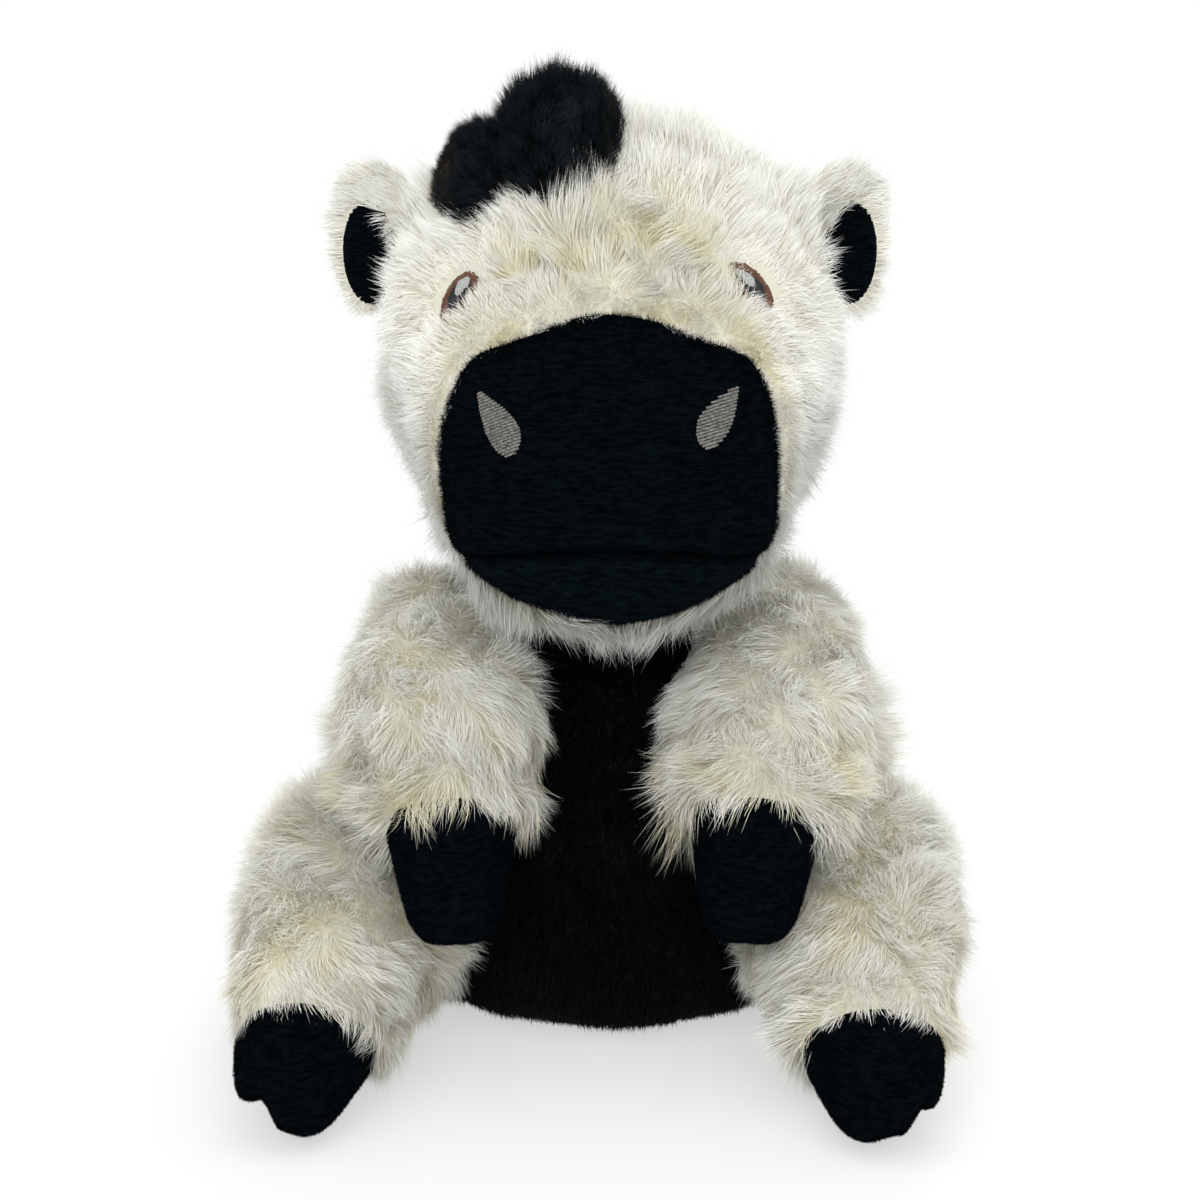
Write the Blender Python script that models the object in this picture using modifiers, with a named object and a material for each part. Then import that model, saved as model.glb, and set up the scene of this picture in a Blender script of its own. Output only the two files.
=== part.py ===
"""Seated plush cow with a stuffed body, head, four limbs, ears and tail.

Metres, +Z up, the face looks along -Y. The origin is on the floor, under the
middle of the seat. Every skin is a shell of fabric around its own filling, and
each limb is sewn to the side of the body, which trims the limb's root.
"""

import math

import bmesh
import bpy
from mathutils import Matrix, Vector

# Fabric and clearances
SKIN = 0.0025
SEWN_GAP = 0.0003
FILL_GAP = 0.0012
SOCKET_GAP = 0.0006
SEAT_TRIM = 0.0005
OVERRUN = 0.020
TOY_REACH = 0.400

# Body, a pear that stands on its seat
BODY_HEIGHT = 0.138
BODY_WIDTH = 0.148
BODY_DEPTH = 0.130
BODY_LEAN = 0.006
# height, width, depth and forward lean of each ring, all as shares
BODY_SHARES = (
    (0.000, 0.70, 0.68, -0.3),
    (0.105, 0.96, 0.94, -0.3),
    (0.320, 1.00, 1.00, -0.6),
    (0.600, 1.07, 0.87, -0.6),
    (0.840, 0.85, 0.70, -0.2),
    (0.970, 0.42, 0.42, 0.0),
)

# Black panel down the chest and belly
BELLY_WIDTH = 0.086
BELLY_FOOT = 0.0035
BELLY_HEIGHT = BODY_HEIGHT * 0.957
# height and half-width of the panel's edge, as shares
BELLY_SHARES = (
    (0.00, 0.60), (0.04, 0.80), (0.14, 0.97), (0.28, 1.00), (0.46, 0.90),
    (0.64, 0.76), (0.82, 0.72), (1.00, 0.72),
)

# Black spot high on the back
SPOT_RADIUS = 0.019
SPOT_X = 0.034
SPOT_Z = BODY_HEIGHT * 0.804

# Bag of pellets that weighs the seat down
PELLET_LENGTH = 0.078
PELLET_DEPTH = 0.060
PELLET_HEIGHT = 0.036
PELLET_BACK = 0.014

# Neck, a stuffed ball of plush that the head turns and nods on
NECK_RADIUS = 0.030
NECK_Y = 0.004
NECK_SINK = 0.006
NECK_Z = BODY_HEIGHT - NECK_SINK

# Head, lofted from the nape to the end of the muzzle
HEAD_LENGTH = 0.165
HEAD_WIDTH = 0.135
HEAD_HEIGHT = 0.142
HEAD_NAPE = 0.064
HEAD_RISE = 0.073
HEAD_Z = NECK_Z + HEAD_RISE
MUZZLE_DROP = 0.023
MUZZLE_TILT = 11.0
# distance from the nape, drop, width, height, muzzle outline and tilt shares
HEAD_SHARES = (
    (0.060, 0.00, 0.54, 0.51, 0.0, 0.0),
    (0.215, 0.00, 0.91, 0.91, 0.0, 0.0),
    (0.435, 0.00, 1.02, 1.00, 0.0, 0.0),
    (0.640, 0.52, 0.81, 0.83, 0.2, 0.3),
    (0.800, 0.92, 0.73, 0.66, 0.8, 0.7),
    (0.925, 1.00, 0.68, 0.60, 1.0, 1.0),
    (0.985, 1.00, 0.49, 0.43, 1.0, 1.0),
)
# one side of the head's round section and of the muzzle's, from the top down
ROUND_SHARES = ((0.0, 1.0), (0.71, 0.71), (1.0, 0.06), (0.76, -0.65), (0.0, -1.0))
MUZZLE_SHARES = ((0.0, 1.0), (0.80, 0.76), (1.0, 0.20), (0.83, -0.66), (0.0, -1.0))

# Muzzle seams
MUZZLE_DEEP = 0.021
MOUTH_DROP = 0.019

# Nostrils, satin stitch
NOSTRIL_HEIGHT = 0.0215
NOSTRIL_WIDTH = 0.0098
NOSTRIL_X = 0.0298
NOSTRIL_RISE = 0.0150
NOSTRIL_LEAN = 14.0
NOSTRIL_SPLAY = 14.0
THREAD = 0.0006
THREAD_LIFT = 0.0005
# the teardrop, from its tip round to its foot, as shares
NOSTRIL_SHARES = (
    (0.55, 1.00), (-0.10, 0.92), (-0.62, 0.52), (-0.95, 0.05), (-0.90, -0.45),
    (-0.45, -0.88), (0.10, -1.00), (0.62, -0.72), (0.95, -0.15), (0.88, 0.45),
)

# Eyes, three layers of satin stitch on each side of the face
EYE_HEIGHT = 0.0165
EYE_WIDTH = 0.0125
EYE_X = 0.0435
EYE_Y = -0.0450
EYE_RISE = HEAD_HEIGHT * 0.1338
EYE_Z = HEAD_Z + EYE_RISE
EYE_TURN = 20.0
EYE_LIFT = 32.0
PUPIL_SHARE = 0.72
GLINT_SHARE = 0.42
GLINT_RISE = 0.0022
GLINT_FORWARD = 0.0016

# Tuft on the crown, two soft mounds
TUFT_WIDTH = 0.036
TUFT_DEPTH = 0.056
TUFT_HEIGHT = 0.046
TUFT_X = -0.0140
TUFT_Y = -0.011
TUFT_RISE = HEAD_HEIGHT * 0.3768
TUFT_Z = HEAD_Z + TUFT_RISE
SIDE_TUFT_SHARE = 0.74
SIDE_TUFT_X = -0.0365
SIDE_TUFT_DROP = 0.007
SIDE_TUFT_Z = TUFT_Z - SIDE_TUFT_DROP

# Ears, upright leaves that stand out from a hinge line leaning along the head
EAR_LENGTH = 0.0200
EAR_HEIGHT = 0.0455
EAR_THICKNESS = 0.009
EAR_X = HEAD_WIDTH * 0.4637
EAR_Y = 0.006
EAR_RISE = HEAD_HEIGHT * 0.2218
EAR_Z = HEAD_Z + EAR_RISE
EAR_LEAN = 25.0
EAR_SWEEP = 12.0
EAR_FALL = 0.003
EAR_ROOT = 0.0045
LINING_WIDTH = 0.0140
LINING_HEIGHT = 0.027
LINING_OUT = 0.0100
LINING_FALL = 0.0045
LINING_LIFT = 0.0012
# distance out from the hinge, height, thickness, fall and lean, as shares
EAR_SHARES = (
    (-0.10, 0.50, 0.86, 0.3, 1.0),
    (0.26, 0.86, 1.00, 0.8, 0.4),
    (0.66, 0.92, 0.90, 0.9, 0.0),
    (0.93, 0.62, 0.66, 0.7, 0.0),
)

# Arms, folded forward with the hoof hanging from the wrist
ARM_LENGTH = 0.135
ARM_RADIUS = BODY_HEIGHT * 0.192
ARM_X = 0.055
ARM_Y = 0.004
ARM_DROP = 0.026
ARM_Z = BODY_HEIGHT - ARM_DROP
ARM_YAW_LEFT = -6.7
ARM_YAW_RIGHT = -9.6
# distance along the arm, width, height, pitch in degrees and cleft, as shares
ARM_SHARES = (
    (-0.05, 0.70, 0.78, 2.0, 0.0),
    (0.20, 0.86, 0.98, 12.0, 0.0),
    (0.43, 1.16, 0.94, 32.0, 0.0),
    (0.63, 0.68, 0.76, 50.0, 0.0),
    (0.92, 0.43, 0.50, 82.0, 0.24),
)
ARM_ROOT_SHARE = -0.11
ARM_TOE_SHARE = 0.955
CUFF_SHARE = 0.645
CUFF_PITCH = 52.0
SHOULDER_BACK = 0.015
SHOULDER_RISE = 0.014
SHOULDER_IN = 0.010

# Legs, stretched forward on the floor
LEG_LENGTH = 0.131
LEG_RADIUS = BODY_HEIGHT * 0.261
LEG_LIFT = 0.001
LEG_X = 0.070
LEG_Y_LEFT = 0.003
LEG_Y_RIGHT = 0.000
LEG_Z = LEG_RADIUS + LEG_LIFT
LEG_YAW_LEFT = 8.0
LEG_YAW_RIGHT = 1.5
LEG_SHARES = (
    (-0.06, 0.78, 0.78, 0.0, 0.0),
    (0.26, 1.00, 1.00, 2.0, 0.0),
    (0.64, 0.66, 0.70, 24.0, 0.0),
    (1.05, 0.42, 0.47, 72.0, 0.28),
)
LEG_ROOT_SHARE = -0.13
LEG_TOE_SHARE = 1.07
ANKLE_SHARE = 0.790
ANKLE_PITCH = 34.0
HIP_BACK = 0.0150
HIP_IN = 0.005

# Tail, a plain cord of fabric with a tuft
TAIL_RADIUS = 0.0040
TAIL_LENGTH = 0.021
TAIL_Z = BODY_HEIGHT * 0.355
TAIL_SEAT = 0.0013
TAIL_TUFT_LENGTH = 0.023
TAIL_TUFT_RADIUS = 0.0072
# distance down the tuft and radius, as shares
TAIL_TUFT_SHARES = ((0.0, 0.70), (0.45, 1.0), (0.85, 0.62))

# Faceting
FINE = 2
COARSE = 1
BODY_SIDES = 8
LIMB_SIDES = 8
TUFT_SIDES = 6
BALL_SIDES = 20
OVAL_SIDES = 12
TAIL_STEPS = 6

LEFT = -1
RIGHT = 1


# Scene, collections and materials

for old in list(bpy.data.objects):
    bpy.data.objects.remove(old, do_unlink=True)

toy = bpy.data.collections.new("plush_cow")
cutters = bpy.data.collections.new("cutters")
for group in (toy, cutters):
    bpy.context.scene.collection.children.link(group)


def fabric(name, colour, roughness):
    """Make a plain cloth material."""
    material = bpy.data.materials.new(name)
    material.use_nodes = True
    shader = material.node_tree.nodes["Principled BSDF"]
    shader.inputs["Base Color"].default_value = (*colour, 1.0)
    shader.inputs["Roughness"].default_value = roughness
    shader.inputs["Metallic"].default_value = 0.0
    material.diffuse_color = (*colour, 1.0)
    return material


CREAM_PILE = fabric("cream_pile", (0.82, 0.78, 0.68), 0.95)
BLACK_PILE = fabric("black_pile", (0.012, 0.012, 0.014), 0.90)
BLACK_VELOUR = fabric("black_velour", (0.008, 0.010, 0.014), 0.85)
GREY_THREAD = fabric("grey_thread", (0.36, 0.35, 0.33), 0.45)
BROWN_THREAD = fabric("brown_thread", (0.21, 0.075, 0.030), 0.45)
BLACK_THREAD = fabric("black_thread", (0.010, 0.010, 0.012), 0.45)
WHITE_THREAD = fabric("white_thread", (0.74, 0.75, 0.80), 0.45)
FIBREFILL = fabric("fibrefill", (0.88, 0.88, 0.86), 1.0)
PELLET_CLOTH = fabric("pellet_cloth", (0.70, 0.68, 0.62), 0.9)


# Making pieces and cutters

def piece(name, mesh, origin, material):
    """Put a mesh in the toy as one named sub-part."""
    obj = bpy.data.objects.new(name, mesh)
    obj.location = origin
    toy.objects.link(obj)
    mesh.materials.clear()
    mesh.materials.append(material)
    mesh.shade_smooth()
    return obj


def guide(name, mesh, origin):
    """Put a mesh among the cutters."""
    obj = bpy.data.objects.new(name, mesh)
    obj.location = origin
    obj.hide_render = True
    obj.display_type = "WIRE"
    cutters.objects.link(obj)
    return obj


def soften(obj, level):
    """Round a cage with Subdivision Surface."""
    modifier = obj.modifiers.new("soften", "SUBSURF")
    modifier.levels = level
    modifier.render_levels = level
    return obj


def swell(obj, distance):
    """Move a surface out along its normals, or in when negative."""
    modifier = obj.modifiers.new("swell", "DISPLACE")
    modifier.mid_level = 0.0
    modifier.strength = distance
    return obj


def cut(obj, cutter):
    """Take a cutter out of a piece."""
    modifier = obj.modifiers.new("cut", "BOOLEAN")
    modifier.operation = "DIFFERENCE"
    modifier.object = cutter
    return obj


def keep(obj, cutter):
    """Keep only what lies inside a cutter."""
    modifier = obj.modifiers.new("keep", "BOOLEAN")
    modifier.operation = "INTERSECT"
    modifier.object = cutter
    return obj


def finished(bm, name):
    """Turn a bmesh into a mesh with its faces pointing out."""
    bmesh.ops.recalc_face_normals(bm, faces=bm.faces)
    mesh = bpy.data.meshes.new(name)
    bm.to_mesh(mesh)
    bm.free()
    return mesh


def ring_swell(sides):
    """Give what a cage ring grows by, so that its softened ring has the asked size."""
    return 3.0 / (2.0 + math.cos(2.0 * math.pi / sides))


def circle_shares(sides):
    """Give a unit ring that starts at the top."""
    angles = [math.pi * (0.5 - 2.0 * i / sides) for i in range(sides)]
    return [(math.cos(angle), math.sin(angle)) for angle in angles]


def closed_shares(half):
    """Complete one side of an outline with its mirror image."""
    return list(half) + [(-u, v) for u, v in reversed(half[1:-1])]


def cage(name, rings, first_pole, last_pole):
    """Loft quads through rings of points and close both ends on a pole."""
    bm = bmesh.new()
    rows = [[bm.verts.new(point) for point in ring] for ring in rings]
    sides = len(rows[0])
    for low, high in zip(rows, rows[1:]):
        for i in range(sides):
            j = (i + 1) % sides
            bm.faces.new((low[i], low[j], high[j], high[i]))
    for row, pole in ((rows[0], first_pole), (rows[-1], last_pole)):
        tip = bm.verts.new(pole)
        for i in range(sides):
            bm.faces.new((row[i], row[(i + 1) % sides], tip))
    return finished(bm, name)


def half_space(name, point, direction, reach):
    """Make a block that fills one side of a plane."""
    bm = bmesh.new()
    bmesh.ops.create_cube(bm, size=reach)
    turn = direction.to_track_quat("Z", "Y").to_matrix().to_4x4()
    middle = point + direction.normalized() * reach / 2
    bmesh.ops.transform(bm, matrix=Matrix.Translation(middle) @ turn, verts=bm.verts)
    return guide(name, finished(bm, name), Vector())


def prism(name, outline, front, back):
    """Extrude an outline drawn in X and Z between two places along Y."""
    bm = bmesh.new()
    rows = [[bm.verts.new((u, depth, v)) for u, v in outline] for depth in (front, back)]
    count = len(outline)
    for i in range(count):
        j = (i + 1) % count
        bm.faces.new((rows[0][i], rows[0][j], rows[1][j], rows[1][i]))
    bm.faces.new(rows[0])
    bm.faces.new(rows[1])
    return guide(name, finished(bm, name), Vector())


def ball(name, size, segments):
    """Make an ellipsoid with the given full sizes."""
    bm = bmesh.new()
    bmesh.ops.create_uvsphere(bm, u_segments=segments, v_segments=segments // 2, radius=0.5)
    bmesh.ops.scale(bm, vec=size, verts=bm.verts)
    return finished(bm, name)


def stitched(name, outline, origin, turn, carrier, lift, material):
    """Lay a thin patch of thread on a carrier's surface."""
    bm = bmesh.new()
    middle = bm.verts.new(Vector())
    inner = [bm.verts.new((u / 2, v / 2, 0.0)) for u, v in outline]
    outer = [bm.verts.new((u, v, 0.0)) for u, v in outline]
    count = len(outline)
    for i in range(count):
        j = (i + 1) % count
        bm.faces.new((middle, inner[i], inner[j]))
        bm.faces.new((inner[i], outer[i], outer[j], inner[j]))
    mesh = finished(bm, name)
    if mesh.polygons[0].normal.z < 0:
        mesh.flip_normals()
    obj = piece(name, mesh, origin, material)
    obj.rotation_euler = turn.to_euler()
    wrap = obj.modifiers.new("lay", "SHRINKWRAP")
    wrap.target = carrier
    wrap.wrap_method = "PROJECT"
    wrap.wrap_mode = "ABOVE_SURFACE"
    wrap.use_project_z = True
    wrap.use_negative_direction = True
    wrap.use_positive_direction = True
    wrap.project_limit = OVERRUN
    wrap.offset = lift
    thick = obj.modifiers.new("thread", "SOLIDIFY")
    thick.thickness = THREAD
    thick.offset = 1.0
    return obj


# Body cage

def body_ring(share):
    """Give one level ring of the body."""
    height, width, depth, lean = share
    half_width = BODY_WIDTH / 2 * width * ring_swell(BODY_SIDES)
    half_depth = BODY_DEPTH / 2 * depth * ring_swell(BODY_SIDES)
    centre = Vector((0.0, -BODY_LEAN * lean, height * BODY_HEIGHT - SEAT_TRIM))
    return [centre + Vector((half_width * u, half_depth * v, 0.0)) for u, v in circle_shares(BODY_SIDES)]


body_cage = cage(
    "body_cage",
    [body_ring(share) for share in BODY_SHARES],
    Vector((0.0, 0.0, -SEAT_TRIM)),
    Vector((0.0, 0.0, BODY_HEIGHT - SEAT_TRIM)),
)
body_inside = swell(soften(guide("body_inside", body_cage.copy(), Vector()), COARSE), -SKIN)
body_outside = swell(soften(guide("body_outside", body_cage.copy(), Vector()), FINE), SEWN_GAP)
floor_block = half_space("floor_block", Vector(), Vector((0.0, 0.0, -1.0)), TOY_REACH)
neck_socket = guide(
    "neck_socket",
    ball("neck_socket", Vector((1, 1, 1)) * 2 * (NECK_RADIUS + SOCKET_GAP), BALL_SIDES),
    Vector((0.0, NECK_Y, NECK_Z)),
)


# Belly panel outline, grown by the sewn gap where it trims the plush

def belly_outline(grow):
    """Give the panel's edge as X and Z."""
    side = [
        (BELLY_WIDTH / 2 * width + grow, BELLY_FOOT + BELLY_HEIGHT * height)
        for height, width in BELLY_SHARES
    ]
    side[0] = (side[0][0], side[0][1] - grow)
    side[-1] = (side[-1][0], side[-1][1] + OVERRUN)
    return side + [(-x, z) for x, z in reversed(side)]


belly_region = prism("belly_region", belly_outline(0.0), -BODY_DEPTH, -BODY_LEAN)
belly_trim = prism(
    "belly_trim", belly_outline(SEWN_GAP), -BODY_DEPTH, -BODY_LEAN + SEWN_GAP
)


def spot_outline(grow):
    """Give the back spot's edge as X and Z."""
    radius = SPOT_RADIUS + grow
    angles = [2 * math.pi * i / OVAL_SIDES for i in range(OVAL_SIDES)]
    return [(SPOT_X + radius * math.cos(a), SPOT_Z + radius * math.sin(a)) for a in angles]


spot_region = prism("spot_region", spot_outline(0.0), 0.0, BODY_DEPTH)
spot_trim = prism("spot_trim", spot_outline(SEWN_GAP), -SEWN_GAP, BODY_DEPTH)


# Body pieces

def body_skin(name, material):
    """Start one panel of the body's skin."""
    obj = soften(piece(name, body_cage.copy(), Vector(), material), FINE)
    cut(obj, body_inside)
    cut(obj, neck_socket)
    return obj


body_plush = body_skin("body_plush", CREAM_PILE)
cut(body_plush, belly_trim)
cut(body_plush, spot_trim)
cut(body_plush, floor_block)

belly_panel = body_skin("belly_panel", BLACK_PILE)
keep(belly_panel, belly_region)

back_spot = body_skin("back_spot", BLACK_PILE)
keep(back_spot, spot_region)

pellet_size = Vector((PELLET_LENGTH, PELLET_DEPTH, PELLET_HEIGHT))
pellet_place = Vector((0.0, PELLET_BACK, SKIN + FILL_GAP + PELLET_HEIGHT / 3))
body_filling = swell(
    soften(piece("body_filling", body_cage.copy(), Vector(), FIBREFILL), COARSE),
    -SKIN - FILL_GAP,
)
cut(body_filling, neck_socket)
pellet_room = guide(
    "pellet_room",
    ball("pellet_room", pellet_size + Vector((2, 2, 2)) * FILL_GAP, OVAL_SIDES),
    pellet_place,
)
cut(body_filling, pellet_room)
filling_room = swell(
    soften(guide("filling_room", body_cage.copy(), Vector()), COARSE), -SKIN - FILL_GAP
)
pellet_bag = piece(
    "pellet_bag", ball("pellet_bag", pellet_size, OVAL_SIDES), pellet_place, PELLET_CLOTH
)
keep(pellet_bag, filling_room)

neck_plush = piece(
    "neck_plush",
    ball("neck_plush", Vector((1, 1, 1)) * 2 * NECK_RADIUS, BALL_SIDES),
    Vector((0.0, NECK_Y, NECK_Z)),
    CREAM_PILE,
)


# Head cage, about the neck's centre

neck_centre = Vector((0.0, NECK_Y, NECK_Z))


def head_ring(share):
    """Give one upright ring of the head, tipped back towards the muzzle's end."""
    along, drop, width, height, muzzle, tilt = share
    half_width = HEAD_WIDTH / 2 * width * ring_swell(BODY_SIDES)
    half_height = HEAD_HEIGHT / 2 * height * ring_swell(BODY_SIDES)
    centre = Vector((0.0, HEAD_NAPE - HEAD_LENGTH * along, HEAD_Z - MUZZLE_DROP * drop))
    lean = math.radians(MUZZLE_TILT * tilt)
    up = Vector((0.0, math.sin(lean), math.cos(lean)))
    ring = []
    for plain, shaped in zip(closed_shares(ROUND_SHARES), closed_shares(MUZZLE_SHARES)):
        u = plain[0] + (shaped[0] - plain[0]) * muzzle
        v = plain[1] + (shaped[1] - plain[1]) * muzzle
        ring.append(centre + Vector((half_width * u, 0.0, 0.0)) + up * half_height * v)
    return [point - neck_centre for point in ring]


muzzle_end = Vector((0.0, HEAD_NAPE - HEAD_LENGTH, HEAD_Z - MUZZLE_DROP))
muzzle_out = Vector((0.0, -math.cos(math.radians(MUZZLE_TILT)), math.sin(math.radians(MUZZLE_TILT))))
head_cage = cage(
    "head_cage",
    [head_ring(share) for share in HEAD_SHARES],
    Vector((0.0, HEAD_NAPE, HEAD_Z)) - neck_centre,
    muzzle_end - neck_centre,
)
head_inside = swell(soften(guide("head_inside", head_cage.copy(), neck_centre), COARSE), -SKIN)
head_surface = soften(guide("head_surface", head_cage.copy(), neck_centre), FINE)
head_outside = swell(soften(guide("head_outside", head_cage.copy(), neck_centre), FINE), SEWN_GAP)

# The muzzle's seam runs round it and the mouth's seam across it
seam_point = muzzle_end - muzzle_out * MUZZLE_DEEP
mouth_point = muzzle_end - Vector((0.0, 0.0, MOUTH_DROP))
muzzle_front = half_space("muzzle_front", seam_point, muzzle_out, TOY_REACH)
muzzle_trim = half_space("muzzle_trim", seam_point - muzzle_out * SEWN_GAP, muzzle_out, TOY_REACH)
above_mouth = half_space("above_mouth", mouth_point, Vector((0.0, 0.0, 1.0)), TOY_REACH)
below_mouth = half_space(
    "below_mouth", mouth_point - Vector((0.0, 0.0, SEWN_GAP)), Vector((0.0, 0.0, -1.0)), TOY_REACH
)


def head_skin(name, material):
    """Start one panel of the head's skin."""
    obj = soften(piece(name, head_cage.copy(), neck_centre, material), FINE)
    return cut(obj, head_inside)


head_plush = head_skin("head_plush", CREAM_PILE)
cut(head_plush, neck_socket)
cut(head_plush, muzzle_trim)

muzzle_panel = head_skin("muzzle_panel", BLACK_VELOUR)
keep(muzzle_panel, muzzle_front)
keep(muzzle_panel, above_mouth)

chin_panel = head_skin("chin_panel", BLACK_VELOUR)
keep(chin_panel, muzzle_front)
keep(chin_panel, below_mouth)

head_filling = swell(
    soften(piece("head_filling", head_cage.copy(), neck_centre, FIBREFILL), COARSE),
    -SKIN - FILL_GAP,
)
cut(head_filling, neck_socket)


# Nostrils and eyes

def oval(width, height, rise, forward):
    """Give an oval's edge, moved up and forward."""
    angles = [2 * math.pi * i / OVAL_SIDES for i in range(OVAL_SIDES)]
    return [(forward + width / 2 * math.cos(a), rise + height / 2 * math.sin(a)) for a in angles]


for side, word in ((LEFT, "left"), (RIGHT, "right")):
    tear = [(side * u * NOSTRIL_WIDTH / 2, v * NOSTRIL_HEIGHT / 2) for u, v in NOSTRIL_SHARES]
    place = muzzle_end + Vector((side * NOSTRIL_X, 0.0, NOSTRIL_RISE))
    turn = Matrix.Rotation(math.radians(side * NOSTRIL_SPLAY), 3, "Z")
    turn = turn @ Matrix.Rotation(math.radians(90.0 - MUZZLE_TILT), 3, "X")
    turn = turn @ Matrix.Rotation(math.radians(-side * NOSTRIL_LEAN), 3, "Z")
    stitched("nostril_" + word, tear, place, turn, head_surface, THREAD_LIFT, GREY_THREAD)

    place = Vector((side * EYE_X, EYE_Y, EYE_Z))
    turn = Matrix.Rotation(math.radians(side * (90.0 - EYE_TURN)), 3, "Z")
    turn = turn @ Matrix.Rotation(math.radians(90.0 - EYE_LIFT), 3, "X")
    forward = -side * GLINT_FORWARD
    layers = (
        ("eye_iris_", oval(EYE_WIDTH, EYE_HEIGHT, 0.0, 0.0), BROWN_THREAD),
        ("eye_pupil_", oval(EYE_WIDTH * PUPIL_SHARE, EYE_HEIGHT * PUPIL_SHARE, 0.0, 0.0), BLACK_THREAD),
        (
            "eye_glint_",
            oval(EYE_WIDTH * GLINT_SHARE, EYE_HEIGHT * GLINT_SHARE, GLINT_RISE, forward),
            WHITE_THREAD,
        ),
    )
    lift = THREAD_LIFT
    for name, edge, thread in layers:
        stitched(name + word, edge, place, turn, head_surface, lift, thread)
        lift += THREAD + THREAD_LIFT


# Crown tuft, two mounds trimmed by the head

tuft_size = Vector((TUFT_WIDTH, TUFT_DEPTH, TUFT_HEIGHT))
side_mound = guide(
    "side_mound",
    ball("side_mound", tuft_size * SIDE_TUFT_SHARE, BODY_SIDES * 2),
    Vector((SIDE_TUFT_X, TUFT_Y, SIDE_TUFT_Z)),
)
crown_tuft = piece(
    "crown_tuft",
    ball("crown_tuft", tuft_size, BODY_SIDES * 2),
    Vector((TUFT_X, TUFT_Y, TUFT_Z)),
    BLACK_PILE,
)
join = crown_tuft.modifiers.new("join", "BOOLEAN")
join.operation = "UNION"
join.object = side_mound
cut(crown_tuft, head_outside)


# Ears, hinged along their roots

def ear_ring(side, share):
    """Give one ring of an ear, in the ear's own frame, with X out from the head."""
    out, height, thickness, fall, lean = share
    grow = ring_swell(BODY_SIDES)
    centre = Vector((side * EAR_LENGTH * out, 0.0, -EAR_FALL * fall))
    angle = math.radians(EAR_LEAN * lean)
    tall = Vector((-side * math.sin(angle), 0.0, math.cos(angle))) * EAR_HEIGHT / 2 * height * grow
    across = Vector((0.0, EAR_THICKNESS / 2 * thickness * grow, 0.0))
    return [centre + across * u + tall * v for u, v in circle_shares(BODY_SIDES)]


for side, word in ((LEFT, "left"), (RIGHT, "right")):
    pivot = bpy.data.objects.new("ear_hinge_" + word, None)
    pivot.location = Vector((side * EAR_X, EAR_Y, EAR_Z))
    pivot.rotation_euler = (0.0, 0.0, math.radians(side * EAR_SWEEP))
    toy.objects.link(pivot)
    ear_cage = cage(
        "ear_cage_" + word,
        [ear_ring(side, share) for share in EAR_SHARES],
        Vector((-side * EAR_ROOT, 0.0, 0.0)),
        Vector((side * EAR_LENGTH, 0.0, -EAR_FALL)),
    )
    ear = soften(piece("ear_" + word, ear_cage, Vector(), CREAM_PILE), COARSE)
    ear.parent = pivot
    lining = stitched(
        "ear_lining_" + word,
        oval(LINING_WIDTH, LINING_HEIGHT, 0.0, 0.0),
        Vector((side * LINING_OUT, -EAR_THICKNESS, -LINING_FALL)),
        Matrix.Rotation(math.radians(90.0), 3, "X"),
        ear,
        LINING_LIFT,
        BLACK_VELOUR,
    )
    lining.parent = pivot


# Limbs

def heading(yaw, pitch):
    """Give a direction, where no yaw is straight ahead and pitch tips down."""
    level = math.cos(pitch)
    return Vector((math.sin(yaw) * level, -math.cos(yaw) * level, -math.sin(pitch)))


def limb_point(shares, length, yaw, share):
    """Walk along a limb's bend to a share of its length."""
    stations = [(row[0], math.radians(row[3])) for row in shares]
    point = Vector()
    place, pitch = stations[0]
    point += heading(yaw, pitch) * place * length
    for next_place, next_pitch in stations[1:]:
        if share <= next_place:
            break
        point += heading(yaw, (pitch + next_pitch) / 2) * (next_place - place) * length
        place, pitch = next_place, next_pitch
    else:
        return point + heading(yaw, pitch) * (share - place) * length
    return point + heading(yaw, pitch) * (share - place) * length


def limb_cage(name, shares, length, radius, yaw, root_share, toe_share, origin):
    """Loft a limb whose last ring and toe are drawn in to make the cleft."""
    grow = ring_swell(LIMB_SIDES)
    across = Vector((math.cos(yaw), math.sin(yaw), 0.0))
    rings = []
    for place, width, height, pitch, cleft in shares:
        ahead = heading(yaw, math.radians(pitch))
        up = ahead.cross(across)
        centre = limb_point(shares, length, yaw, place)
        ring = []
        for u, v in circle_shares(LIMB_SIDES):
            point = centre + across * radius * width * grow * u + up * radius * height * grow * v
            if abs(u) < 1 / LIMB_SIDES:
                point -= ahead * radius * cleft
            ring.append(point - origin)
        rings.append(ring)
    ahead = heading(yaw, math.radians(shares[-1][3]))
    toe = limb_point(shares, length, yaw, toe_share) - ahead * radius * 2 * shares[-1][4]
    root = limb_point(shares, length, yaw, root_share)
    return cage(name, rings, root - origin, toe - origin)


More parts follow.
